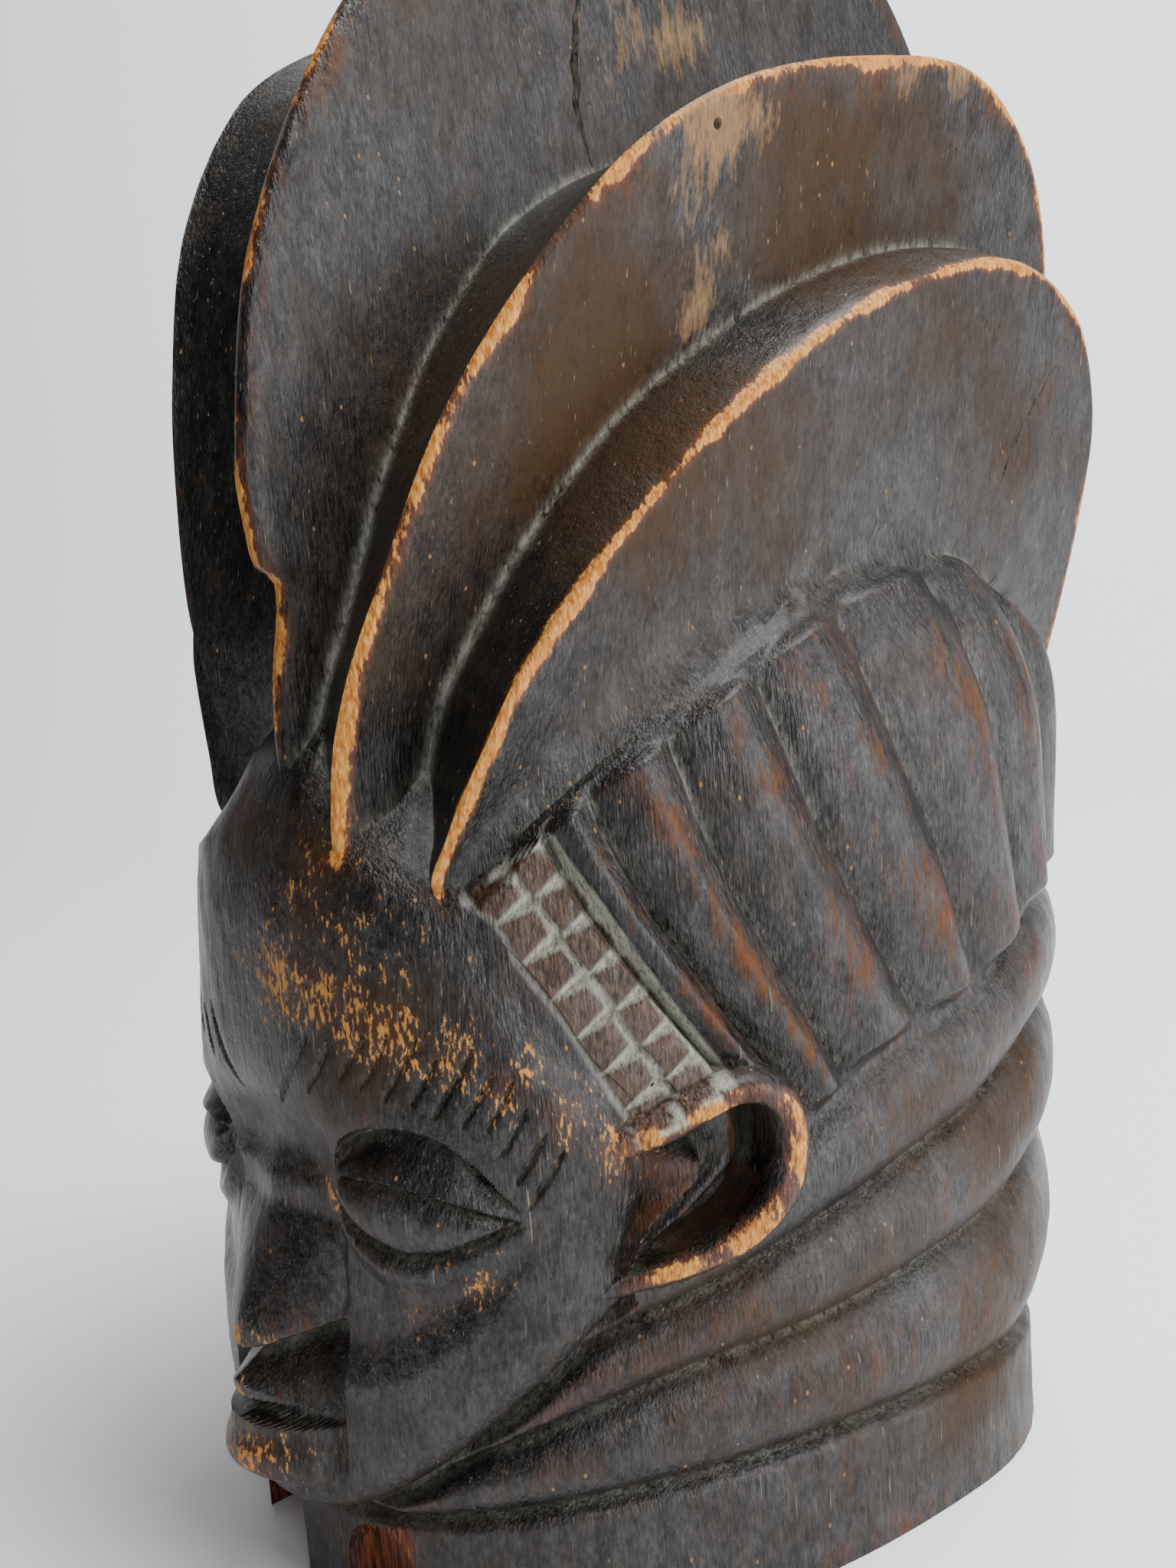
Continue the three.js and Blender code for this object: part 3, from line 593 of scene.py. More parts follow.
def lobe_rings(lobe, seed):
    """A stepped lobe, laid out in rays from the root: a near face, a rounded worn edge, and a ledge that
    runs in to its neighbour, or for the middle lobe a second face."""
    count = 190
    path = edge_path(lobe["edge"], count)
    y, z = path[:, :1], path[:, 1:]
    reach = np.hypot(y - ROOT[0], z - ROOT[1])
    uy, uz = (y - ROOT[0]) / reach, (z - ROOT[1]) / reach
    side = np.sign(lobe["x"])
    worn = 0.5 * ripple(y, z, 40, seed) + 0.3 * ripple(y, z, 12, seed + 1)
    soft = lobe["soft"]
    turn = np.linspace(0, 90, 5)[1:-1] * DEG
    deep = reach * 0.72

    def face(dist, shift):
        """Points of the lobe's face, in from the edge along the rays and out from its sheet, with waves."""
        qy, qz = y - uy * dist, z - uz * dist
        wave = 0.7 * ripple(qy, qz, 55, seed + 2) + 0.25 * ripple(qy, qz, 17, seed + 3)
        swell = flare(lobe, qy, qz)
        wave = wave * smooth(0, 20, dist) * smooth(2, 0, swell) + swell
        return np.stack([sheet_x(lobe, qy, qz) + side * (shift + wave), qy, qz], -1)

    depths = np.array([1.0, 0.9, 0.8, 0.7, 0.6, 0.5, 0.4, 0.3, 0.2, 0.13, 0.08, 0.05]) * deep
    depths = np.maximum(depths, soft + np.arange(12, 0, -1.0))
    steps = range(depths.shape[1])
    if lobe["inner"] is None:
        near = [face(depths[:, k:k + 1], soft + 0.05 * depths[:, k:k + 1]) for k in steps]
        arc = [face(soft * (1 - math.cos(t)) + 0 * y, soft * math.sin(t)) for t in turn[::-1]]
        away = [face(soft * (1 - math.cos(t)) + 0 * y, -soft * math.sin(t)) for t in turn]
        far = [face(depths[:, k:k + 1], -soft - 0.05 * depths[:, k:k + 1]) for k in reversed(steps)]
        return np.concatenate([*near, *arc, face(0 * y - worn * 0.5, 0.0), *away, *far], 1)
    near = [face(depths[:, k:k + 1], 0.03 * depths[:, k:k + 1]) for k in steps]
    near.append(face(0 * y + soft - worn * 0.3, 0.05))
    to_middle = lobe["inner"] == "middle"
    target = sheet_x(LOBES["middle"], y, z) if to_middle else lobe["inner"] + side * 0.2 * (z - 215)
    width = target - sheet_x(lobe, y, z)
    rise = curve(lobe["rise"], np.linspace(0, 1, count)[:, None])

    def ledge(f):
        """Points of the ledge at a share of its way in to the neighbour, with its rise and waves."""
        lift = rise * np.sin(f * 90 * DEG)
        wave = 0.6 * ripple(y, z + 90 * f, 38, seed + 5) * smooth(0.05, 0.3, f)
        out = lift + wave
        return np.stack([sheet_x(lobe, y, z) + width * f, y + uy * out, z + uz * out], -1)

    start = soft / np.abs(width)
    arc = []
    for t in turn:
        spot = face(soft * (1 - math.sin(t)) - worn * 0.3, 0.0)
        spot[..., 0] -= side * soft * (1 - math.cos(t))
        arc.append(spot)
    flat = [ledge(start + (1 - start) * f) for f in (0, 0.12, 0.26, 0.42, 0.6, 0.8, 1.0)]
    below = flat[-1].copy()
    below[..., 1] = y - uy * deep
    below[..., 2] = z - uz * deep
    return np.concatenate([*near, *arc, *flat, below], 1)


# The line of the ear's rim, [angle, z]
EAR_PATH = [
    (49.5, 130.5), (55, 134.5), (60.5, 139.5), (64.5, 141.5), (67.5, 138), (68.6, 130), (68.2, 120),
    (66.8, 111.5), (63.5, 104.5), (58, 99.8), (52, 97.3), (46.5, 95),
]


def ear_rings(side):
    """Ear: a rounded rim carried along a horseshoe on the side of the head, highest at the back."""
    k = np.linspace(0, len(EAR_PATH) - 1, 90)
    phi, z = (line[:, None] for line in along(EAR_PATH, k))
    t = np.clip(k[:, None] / (len(EAR_PATH) - 1), 0.02, 0.98)
    high = 2 + 8 * np.sin(math.pi * t) ** 0.7
    out_a, out_b = (phi - 60) * 1.7, z - 119
    size = np.hypot(out_a, out_b)
    out_a, out_b = out_a / size, out_b / size
    across = np.array([5.6, 5.5, 4.6, 3.3, 1.8, 0.2, -1.2, -2.4, -3.4, -3.9, -4.0])
    lift = np.array([-12, 0.15, 0.5, 0.76, 0.93, 1, 0.99, 0.92, 0.72, 0.3, -12])
    h = np.where(lift < 0, lift, high * lift)
    rings = stand_off(phi + out_a / 1.7 * across, z + out_b * across, h)
    rings[..., 0] *= side
    return rings


# Places where the rim's face has split away, showing raw wood: from x to x, and how high
SPLITS = [dict(x=(-46, -6), top=27), dict(x=(14, 37.5), top=27)]


def front_split_rings():
    """Ragged flake lost from the rim under the chin: a straight near side and a torn top."""
    x = np.array([-46, -6, -6.5, -7.5, -14, -19, -26, -33, -40, -44.0])
    z = np.array([-5, -5, 12, 22, 27, 24, 26, 20, 14, 6.0])
    y = np.array([-180, -147.0])[:, None]
    return np.stack([x + 0 * y, y + 0.02 * (x + 20) ** 2 * (y > -160), z + 0 * y], -1)


def arch_split_rings():
    """A worn half-round bite in the rim, a few millimetres deep."""
    turn = np.linspace(0, 180, 17) * DEG
    x = np.concatenate([[37.3, 37.3], 25.8 + 11.5 * np.cos(turn), [14.3]])
    z = np.concatenate([[-5, 6], 15 + 12 * np.sin(turn), [-5]])
    y = np.array([-180, -149.0, -146.5])[:, None]
    shrink = np.array([1, 1, 0.93])[:, None]
    return np.stack([25.8 + (x - 25.8) * shrink, y + 0 * x, z * shrink], -1)


def crack_rings(lobe, line, width, depth):
    """A crack in a lobe's face: a thin wedge along a ragged line, widest in the middle of its length."""
    points = edge_path(line, 40)
    t = np.linspace(0, 1, 40)
    jitter = 0.9 * ripple(points[:, 0], points[:, 1], 9, 31)
    y, z = points[:, 0] + jitter, points[:, 1]
    wide = (width * (0.15 + 0.85 * np.sin(math.pi * np.clip(t, 0.02, 0.98))))[:, None]
    side = np.sign(lobe["x"])
    base = sheet_x(lobe, y, z)[:, None]
    offset = np.array([-1, 1, 0.6, -0.6])
    push = np.array([8, 8, -depth, -depth])
    return np.stack([base + side * push, y[:, None] + wide * offset, z[:, None] + 0 * offset], -1)


def nail_hole_rings(lobe, y, z):
    """A nail hole 3 mm across, 5 mm deep in a lobe's near face."""
    turn = np.arange(12) * 30 * DEG
    qy, qz = y + 1.5 * np.cos(turn), z + 1.5 * np.sin(turn)
    push = np.sign(lobe["x"]) * np.array([8.0, -5.0])[:, None]
    return np.stack([sheet_x(lobe, qy, qz) + push, qy + 0 * push, qz + 0 * push], -1)


# Most triangles kept of the head's own surface
HEAD_TRIANGLES = 125000

# Cracks in two lobes, as [y, z] down their length, and the nail hole's place
TOP_CRACK = [(-11, 440), (-17, 419), (-20, 400), (-18, 384)]
SIDE_CRACK = [(85, 319), (76, 308), (67, 295), (59, 280)]
NAIL_HOLE = (-36, 381)


def make_mask():
    """Joins head, lobes and ears, and cuts out the hollow, the splits, the cracks and a nail hole."""
    mask = solid("carved_mask", head_rings())
    thin = mask.modifiers.new("thin", "DECIMATE")
    thin.ratio = HEAD_TRIANGLES / max(len(mask.data.polygons), HEAD_TRIANGLES + 1)
    settle(mask)
    for i, (name, lobe) in enumerate(LOBES.items()):
        carve(mask, solid(name, lobe_rings(lobe, 40 + 10 * i)), "UNION")
    for side in (1, -1):
        carve(mask, solid("ear", ear_rings(side)), "UNION")
    cuts = [
        ("hollow", hollow_rings()),
        ("front_split", front_split_rings()),
        ("arch_split", arch_split_rings()),
        ("top_crack", crack_rings(LOBES["middle"], TOP_CRACK, 1.5, 3)),
        ("side_crack", crack_rings(LOBES["outer"], SIDE_CRACK, 0.7, 4)),
        ("nail_hole", nail_hole_rings(LOBES["inner"], *NAIL_HOLE)),
    ]
    for name, rings in cuts:
        carve(mask, solid(name, rings), "DIFFERENCE")
    return mask


def blur(edges, values, times):
    """Averages values over neighbouring vertices again and again."""
    count = len(values)
    ends = np.concatenate([edges[:, 0], edges[:, 1]])
    others = np.concatenate([edges[:, 1], edges[:, 0]])
    number = np.maximum(np.bincount(ends, minlength=count), 1)
    columns = values.reshape(count, -1).astype(float)
    for _ in range(times):
        around = [np.bincount(ends, weights=columns[others, k], minlength=count) / number
                  for k in range(columns.shape[1])]
        columns = 0.5 * columns + 0.5 * np.stack(around, 1)
    return columns.reshape(values.shape)


def distance_to_path(points, path):
    """Distance from each point to the nearest of the path's points."""
    best = np.full(len(points), 1e9)
    for start in range(0, len(path), 20):
        part = path[start:start + 20]
        gap = ((points[:, None] - part[None]) ** 2).sum(-1).min(1)
        best = np.minimum(best, gap)
    return np.sqrt(best)


# Rubbed and bare places, each [x, y, z, radius, strength] in millimetres before the shift
BARE_SPOTS = [
    (71, -36, 381, 15, 0.95), (70, -22, 383, 11, 0.7), (68, -44, 366, 11, 0.7),
    (62, -34, 350, 12, 0.65), (58, -40, 336, 11, 0.8), (72, 35, 398, 10, 0.7), (73, 58, 399, 10, 0.75),
    (-8, 4, 432, 16, 0.9), (-8, -8, 408, 11, 0.85), (-8, 24, 424, 18, 0.8), (-4, 6, 392, 10, 0.75),
]
BROW_SPOTS = [
    (0, -165, 178, 14, 0.5), (16, -156, 176, 13, 0.8), (28, -152, 173, 12, 0.85),
    (38, -148, 169, 12, 0.85), (47, -143, 165, 12, 0.85), (57, -134, 158, 12, 0.8),
    (66, -126, 151, 11, 0.75), (74, -116, 142, 11, 0.7), (80, -104, 130, 11, 0.65),
    (22, -150, 190, 20, 0.46), (40, -142, 184, 20, 0.44), (30, -148, 206, 16, 0.38),
    (33, -142, 84, 11, 0.6), (45, -138, 92, 11, 0.7), (56, -132, 102, 11, 0.75),
    (62, -126, 110, 9, 0.6), (24, -152, 120, 6, 0.8), (32, -148, 117, 5, 0.8), (40, -146, 113, 5, 0.5),
    (0, -176, 80, 8, 0.95), (8, -170, 78, 7, 0.7), (0, -174, 66, 5, 0.7), (6, -172, 49, 9, 1.0),
    (-6, -172, 49, 8, 0.8), (14, -166, 49, 6, 0.7),
]


def spots(points, places):
    """The strongest of the soft round spots that reach each point."""
    strongest = np.zeros(len(points))
    for x, y, z, radius, strength in places:
        gap = ((points - [x, y, z]) ** 2).sum(1)
        strongest = np.maximum(strongest, strength * np.exp(-gap / radius**2))
    return strongest


# Browner stretches under the dark finish, placed as above
WARM_SPOTS = [
    (58, -70, 320, 55, 1.1), (66, 10, 365, 60, 1.1), (22, -125, 262, 38, 0.5), (25, -145, 198, 26, 0.7),
    (45, -138, 165, 24, 0.7), (96, 30, 75, 50, 0.9), (88, -50, 70, 42, 0.8), (90, 10, 20, 45, 0.6),
    (12, -60, 420, 60, 0.4),
]

# How strongly each lobe's edge is rubbed through, and how widely in millimetres
WORN_EDGES = {
    "outer": (1.0, 4.2), "inner": (1.0, 6.2), "middle": (0.8, 4), "outer_far": (0.45, 3),
    "inner_far": (0.55, 3.4),
}
TIP_POINTS = 12  # how many of an edge's 300 steps are its buried tip, left dark


def worn_edges(co):
    """How far edges are rubbed through: most on the crest lobes' edges and the ears' rims, falling to 0
    about one and a half worn widths away."""
    arris = np.zeros(len(co))
    for name, (strength, wide) in WORN_EDGES.items():
        line = edge_path(LOBES[name]["edge"], 300)[TIP_POINTS:]
        path = np.column_stack([sheet_x(LOBES[name], line[:, 0], line[:, 1]), line])
        arris = np.maximum(arris, strength * np.clip(1.5 - distance_to_path(co, path) / wide, 0, 1.3))
    steps = np.linspace(0, len(EAR_PATH) - 1, 80)
    for side in (1, -1):
        path = stand_off(*along(EAR_PATH, steps), 9.0)
        path[:, 0] *= side
        arris = np.maximum(arris, np.clip(1.6 - distance_to_path(co, path) / 6, 0, 1.15))
    return arris


def plan_angle(co):
    """Angle of each point round the head from the front, from the oval's own formula turned about."""
    held = np.clip(co[:, 2], 0, 240)
    deep = np.where(co[:, 1] < 0, curve(FRONT, held), curve(BACK, held))
    sine = (np.abs(co[:, 0]) / curve(WIDE, held)) ** (SQUARENESS / 2)
    angle = np.arctan2(sine, (np.abs(co[:, 1]) / deep) ** (SQUARENESS / 2)) / DEG
    return np.where(co[:, 1] < 0, angle, 180 - angle)


def mark_surface(piece):
    """Stores the MARKS on each vertex for the finish to read: edge wear, the band's cuts and blocks, dust,
    worn folds, browner, swelling, bare, rubbed and split places, and the inside."""
    mesh = piece.data
    count = len(mesh.vertices)
    co = np.empty(count * 3)
    mesh.vertices.foreach_get("co", co)
    co = co.reshape(-1, 3) / MM - [0, SHIFT_Y, 0]
    normal = np.empty(count * 3)
    mesh.vertex_normals.foreach_get("vector", normal)
    normal = normal.reshape(-1, 3)
    edges = np.empty(len(mesh.edges) * 2, int)
    mesh.edges.foreach_get("vertices", edges)
    edges = edges.reshape(-1, 2)
    broad = ((co - blur(edges, co, 40)) * normal).sum(1)
    a = np.abs(curve(WIDE, co[:, 2]) - 7)
    d = np.where(co[:, 1] < 0, curve(FRONT, co[:, 2]), curve(BACK, co[:, 2])) - 7
    within = (np.abs(co[:, 0]) / a) ** SQUARENESS + (np.abs(co[:, 1]) / d) ** SQUARENESS
    inside = (within < 1) & (co[:, 2] < HOLLOW_TOP + 3) & (normal_towards_axis(co, normal) > 0.1)
    raw = np.zeros(count)
    for split in SPLITS:
        low, high = split["x"]
        held = (co[:, 0] > low - 0.5) & (co[:, 0] < high + 0.5) & (co[:, 2] < split["top"] + 1)
        raw = np.maximum(raw, held & (co[:, 1] > -151.5) & (co[:, 1] < -130) & ~inside)
    angle = plan_angle(co)
    cuts, blocks = band_grooves(angle, co[:, 2])
    outside = (co[:, 2] < 214) & ~inside
    q, across = pleat_place(angle, co[:, 2])
    crest = curve(CREST_LINE, angle)
    hair = (q > GROOVES[0]) & (co[:, 2] > curve(NAPE, angle)) & (co[:, 2] < crest) & ~inside
    marks = {
        "arris": worn_edges(co),
        "chalk": np.clip(cuts, 0, 1) * outside,
        "dusty": 0.25 + 0.6 * smooth(190, 225, co[:, 2]),
        "block": blocks * np.clip(1 - cuts, 0, 1) * outside,
        "fold": bell(across - 0.66, 0.17) * hair * smooth(0, 25, crest - co[:, 2]),
        "warm": spots(co, WARM_SPOTS),
        "broad": np.clip(broad / 4, -1.5, 1.5),
        "bare": spots(co, BARE_SPOTS),
        "rubbed": spots(co, BROW_SPOTS),
        "raw": raw.astype(float),
        "inside": inside.astype(float),
    }
    for name, values in marks.items():
        store = mesh.attributes.new(name, "FLOAT", "POINT")
        store.data.foreach_set("value", values.astype(np.float32))


def normal_towards_axis(co, normal):
    """How much a normal points at the mask's middle, where the head goes."""
    inward = np.array([0, -25, 120]) - co
    inward = inward / np.linalg.norm(inward, axis=1, keepdims=True)
    return (inward * normal).sum(1)


def linear(code):
    """An sRGB hex colour as linear red, green, blue and alpha."""
    parts = [int(code[i:i + 2], 16) / 255 for i in (1, 3, 5)]
    return (*[c / 12.92 if c <= 0.04045 else ((c + 0.055) / 1.055) ** 2.4 for c in parts], 1.0)


def node(tree, kind, inputs=None, **settings):
    """Adds a node, sets its properties, and sets or links its inputs by name or number; a node given as
    an input is linked from its first output."""
    made = tree.nodes.new(kind)
    for key, value in settings.items():
        setattr(made, key, value)
    for key, value in (inputs or {}).items():
        if isinstance(value, bpy.types.Node):
            value = value.outputs[0]
        if isinstance(value, bpy.types.NodeSocket):
            tree.links.new(value, made.inputs[key])
        else:
            made.inputs[key].default_value = value
    return made


# Node kinds. Map Range reads 0 the value, 1 and 2 the range it comes from, 3 and 4 the range it goes to.
MATH = "ShaderNodeMath"
RANGE = "ShaderNodeMapRange"
MIX = "ShaderNodeMix"
NOISE = "ShaderNodeTexNoise"
MAPPING = "ShaderNodeMapping"

# Patterns in the wood: width and length up the grain in millimetres, detail and roughness of the noise
WOOD_PATTERNS = {
    "grain": (0.7, 12, 3.0, 0.5),
    "fleck": (1.1, 3, 4.0, 0.6),
    "streak": (3, 36, 5.0, 0.62),
    "breakup": (6, 11, 6.0, 0.68),
    "wander": (24, 30, 3.0, 0.55),
    "blotch": (45, 45, 3.0, 0.5),
}

# What mark_surface stores on each vertex
MARKS = ("arris", "chalk", "dusty", "block", "fold", "warm", "broad", "bare", "rubbed", "raw", "inside")

# Coats of colour from the stain up: a share's name, then its colour or its darker and lighter colours
# The near-black hole coat is painted shade inside the worm holes, which are only dents in the bump.
STAIN = "#090706"
COATS = [
    ("warm", "#3b2914"), ("pale", "#352b1f"), ("black", "#050404"), ("fibre", "#4a3d2b"),
    ("fold", "#20120a", "#74421a"), ("block", "#503723"), ("halo", "#4c2c17"), ("rubbed", "#b98040"),
    ("border", "#54280f"), ("edge", "#9c5b1c", "#cf9850"), ("bare", "#4c3823", "#a8845a"),
    ("chip", "#94724e"), ("scratch", "#8d7763"), ("dust", "#a2a294"), ("raw", "#3a1c14", "#8d5238"),
    ("inside", "#3a2a1e", "#5d4632"), ("hole", "#050403"),
]


def wood_patterns(tree, place):
    """The wood's patterns as nodes: noise stretched up the grain, scaled by its real width and length, and
    a speckle, which is breakup and fleck added."""
    made = {}
    for name, (wide, tall, detail, rough) in WOOD_PATTERNS.items():
        size = (1000 / wide, 1000 / wide, 1000 / tall)
        laid = node(tree, MAPPING, {"Vector": place, "Scale": size})
        kind = {"Vector": laid, "Scale": 1.0, "Detail": detail, "Roughness": rough}
        made[name] = node(tree, NOISE, kind)
    made["speckle"] = node(tree, MATH, {0: made["breakup"], 1: made["fleck"]}, operation="ADD")
    return made


def scratches(tree, place):
    """Straight scratches: the peaks of noise 1 mm wide and 22 mm long, laid three ways."""
    lines = 0.0
    for turn in ((0.5, 0.8, 0.2), (-0.6, -0.5, 1.1), (1.2, 0.3, 0.7)):
        laid = node(tree, MAPPING, {"Vector": place, "Rotation": turn, "Scale": (1000, 1000, 45)})
        wave = node(tree, NOISE, {"Vector": laid, "Scale": 1.0, "Detail": 1.0})
        peak = node(tree, RANGE, {0: wave, 1: 0.74, 2: 0.79})
        lines = node(tree, MATH, {0: peak, 1: lines}, operation="MAXIMUM")
    return lines


def chips(tree, place):
    """Tiny knocks through the finish, about 1 mm across: some of the cells of a 6 mm Voronoi pattern."""
    laid = node(tree, MAPPING, {"Vector": place, "Scale": (170, 170, 125)})
    cells = node(tree, "ShaderNodeTexVoronoi", {"Vector": laid, "Scale": 1.0})
    near = node(tree, RANGE, {0: cells, 1: 0.11, 2: 0.06})
    picked = node(tree, RANGE, {0: cells.outputs["Color"], 1: 0.62, 2: 0.66})
    return node(tree, MATH, {0: near, 1: picked}, operation="MULTIPLY")


def worm_holes(tree, place, blotch):
    """Worm holes 1.4 mm across and about 20 mm apart, only in some stretches: the mask for their dents and
    for the painted shade inside them.
    """
    cells = node(tree, "ShaderNodeTexVoronoi", {"Vector": place, "Scale": 48.0})
    near = node(tree, RANGE, {0: cells, 1: 0.036, 2: 0.026})
    here = node(tree, RANGE, {0: blotch, 1: 0.45, 2: 0.5})
    return node(tree, MATH, {0: near, 1: here}, operation="MULTIPLY")


def stain_shares(tree, wood, mark):
    """How much of the stain is browner, mottled paler or blacker, or shows light fibres."""
    brown = node(tree, MATH, {0: mark["warm"], 1: 0.42, 2: wood["blotch"]}, operation="MULTIPLY_ADD")
    brown = node(tree, MATH, {0: wood["streak"], 1: 0.5, 2: brown}, operation="MULTIPLY_ADD")
    return {
        "warm": node(tree, RANGE, {0: brown, 1: 0.78, 2: 1.25}),
        "pale": node(tree, RANGE, {0: wood["speckle"], 1: 1.0, 2: 1.3, 4: 0.4}),
        "black": node(tree, RANGE, {0: wood["speckle"], 1: 0.98, 2: 0.75, 4: 0.4}),
        "fibre": node(tree, RANGE, {0: wood["grain"], 1: 0.55, 2: 0.8, 4: 0.25}),
    }


def fold_shares(tree, wood, mark):
    """Rusty wear in patches along each pleat and on the rings' backs, and the band's scuffed blocks."""
    patchy = node(tree, MATH, {0: wood["streak"], 1: wood["wander"]}, operation="ADD")
    patchy = node(tree, RANGE, {0: patchy, 1: 0.97, 2: 1.2})
    ring = node(tree, RANGE, {0: mark["broad"], 1: 0.15, 2: 0.6, 4: 0.55})
    fold = node(tree, MATH, {0: ring, 1: mark["fold"]}, operation="MAXIMUM")
    scuff = node(tree, RANGE, {0: wood["fleck"], 1: 0.3, 2: 0.6, 4: 0.8})
    return {
        "fold": node(tree, MATH, {0: fold, 1: patchy}, operation="MULTIPLY"),
        "block": node(tree, MATH, {0: mark["block"], 1: scuff}, operation="MULTIPLY"),
    }


def rubbed_shares(tree, wood, mark):
    """Wear through the stain: on brow, nose and lips a red-brown halo with broken flecks of tan, along the
    edges a reddish border with a bright middle, and bare weathered wood streaked up the grain."""
    halo = node(tree, MATH, {0: mark["rubbed"], 1: wood["wander"]}, operation="ADD")
    flecks = node(tree, MATH, {0: wood["fleck"], 1: 0.6, 2: wood["speckle"]}, operation="MULTIPLY_ADD")
    flecks = node(tree, MATH, {0: mark["rubbed"], 1: 0.5, 2: flecks}, operation="MULTIPLY_ADD")
    flecks = node(tree, RANGE, {0: flecks, 1: 1.66, 2: 1.75})
    near = node(tree, RANGE, {0: mark["rubbed"], 1: 0.08, 2: 0.3})
    edge = node(tree, MATH, {0: wood["wander"], 1: 2.0, 2: mark["arris"]}, operation="MULTIPLY_ADD")
    edge = node(tree, MATH, {0: wood["speckle"], 1: 0.6, 2: edge}, operation="MULTIPLY_ADD")
    bare = node(tree, MATH, {0: wood["streak"], 1: 1.2, 2: mark["bare"]}, operation="MULTIPLY_ADD")
    bare = node(tree, MATH, {0: wood["fleck"], 1: 0.5, 2: bare}, operation="MULTIPLY_ADD")
    return {
        "halo": node(tree, RANGE, {0: halo, 1: 0.8, 2: 1.25, 4: 0.6}),
        "rubbed": node(tree, MATH, {0: flecks, 1: near}, operation="MULTIPLY"),
        "border": node(tree, RANGE, {0: edge, 1: 2.3, 2: 2.55, 4: 0.85}),
        "edge": node(tree, RANGE, {0: edge, 1: 2.56, 2: 2.66}),
        "bare": node(tree, RANGE, {0: bare, 1: 1.3, 2: 1.65, 4: 0.85}),
    }


def dust_share(tree, wood, mark):
    """Grey-green dust in every cut and corner within 5 mm, thickest in the hatched band."""
    corner = node(tree, "ShaderNodeAmbientOcclusion", {"Distance": 0.005}, samples=4, only_local=True)
    dust = node(tree, RANGE, {0: corner.outputs["AO"], 1: 0.78, 2: 0.55})
    dust = node(tree, MATH, {0: dust, 1: mark["dusty"]}, operation="MULTIPLY")
    patchy = node(tree, RANGE, {0: wood["speckle"], 1: 0.75, 2: 1.15})
    dust = node(tree, MATH, {0: dust, 1: patchy}, operation="MULTIPLY")
    chalk = node(tree, RANGE, {0: mark["chalk"], 1: 0.1, 2: 0.9, 4: 0.85})
    flaked = node(tree, RANGE, {0: wood["fleck"], 1: 0.2, 2: 0.5})
    chalk = node(tree, MATH, {0: chalk, 1: flaked}, operation="MULTIPLY")
    return node(tree, MATH, {0: dust, 1: chalk}, operation="MAXIMUM")


def relief(tree, wood, mark, pits):
    """Relief of a few tenths of a millimetre: fibres and scuffs, with holes and scratches cut in."""
    height = node(tree, MATH, {0: wood["grain"], 1: 0.8, 2: wood["streak"]}, operation="MULTIPLY_ADD")
    raw_fibre = node(tree, MATH, {0: mark["raw"], 1: wood["grain"]}, operation="MULTIPLY")
    layers = [(wood["breakup"], 2.6), (wood["fleck"], 0.7), (pits["hole"], -3.0), (pits["scratch"], -0.7),
              (pits["chip"], -0.8), (raw_fibre, 3.0)]
    for layer, depth in layers:
        height = node(tree, MATH, {0: layer, 1: depth, 2: height}, operation="MULTIPLY_ADD")
    return node(tree, "ShaderNodeBump", {"Height": height, "Strength": 0.75, "Distance": 0.0006})


def coated_colour(tree, share, between):
    """Lays the coats one over another by their shares; two colours are mixed by the coat's own pattern."""
    base = linear(STAIN)
    for name, dark, *light in COATS:
        colour = linear(dark)
        if light:
            tones = {0: between[name], 6: colour, 7: linear(light[0])}
            colour = node(tree, MIX, tones, data_type="RGBA").outputs[2]
        base = node(tree, MIX, {0: share[name], 6: base, 7: colour}, data_type="RGBA").outputs[2]
    return base


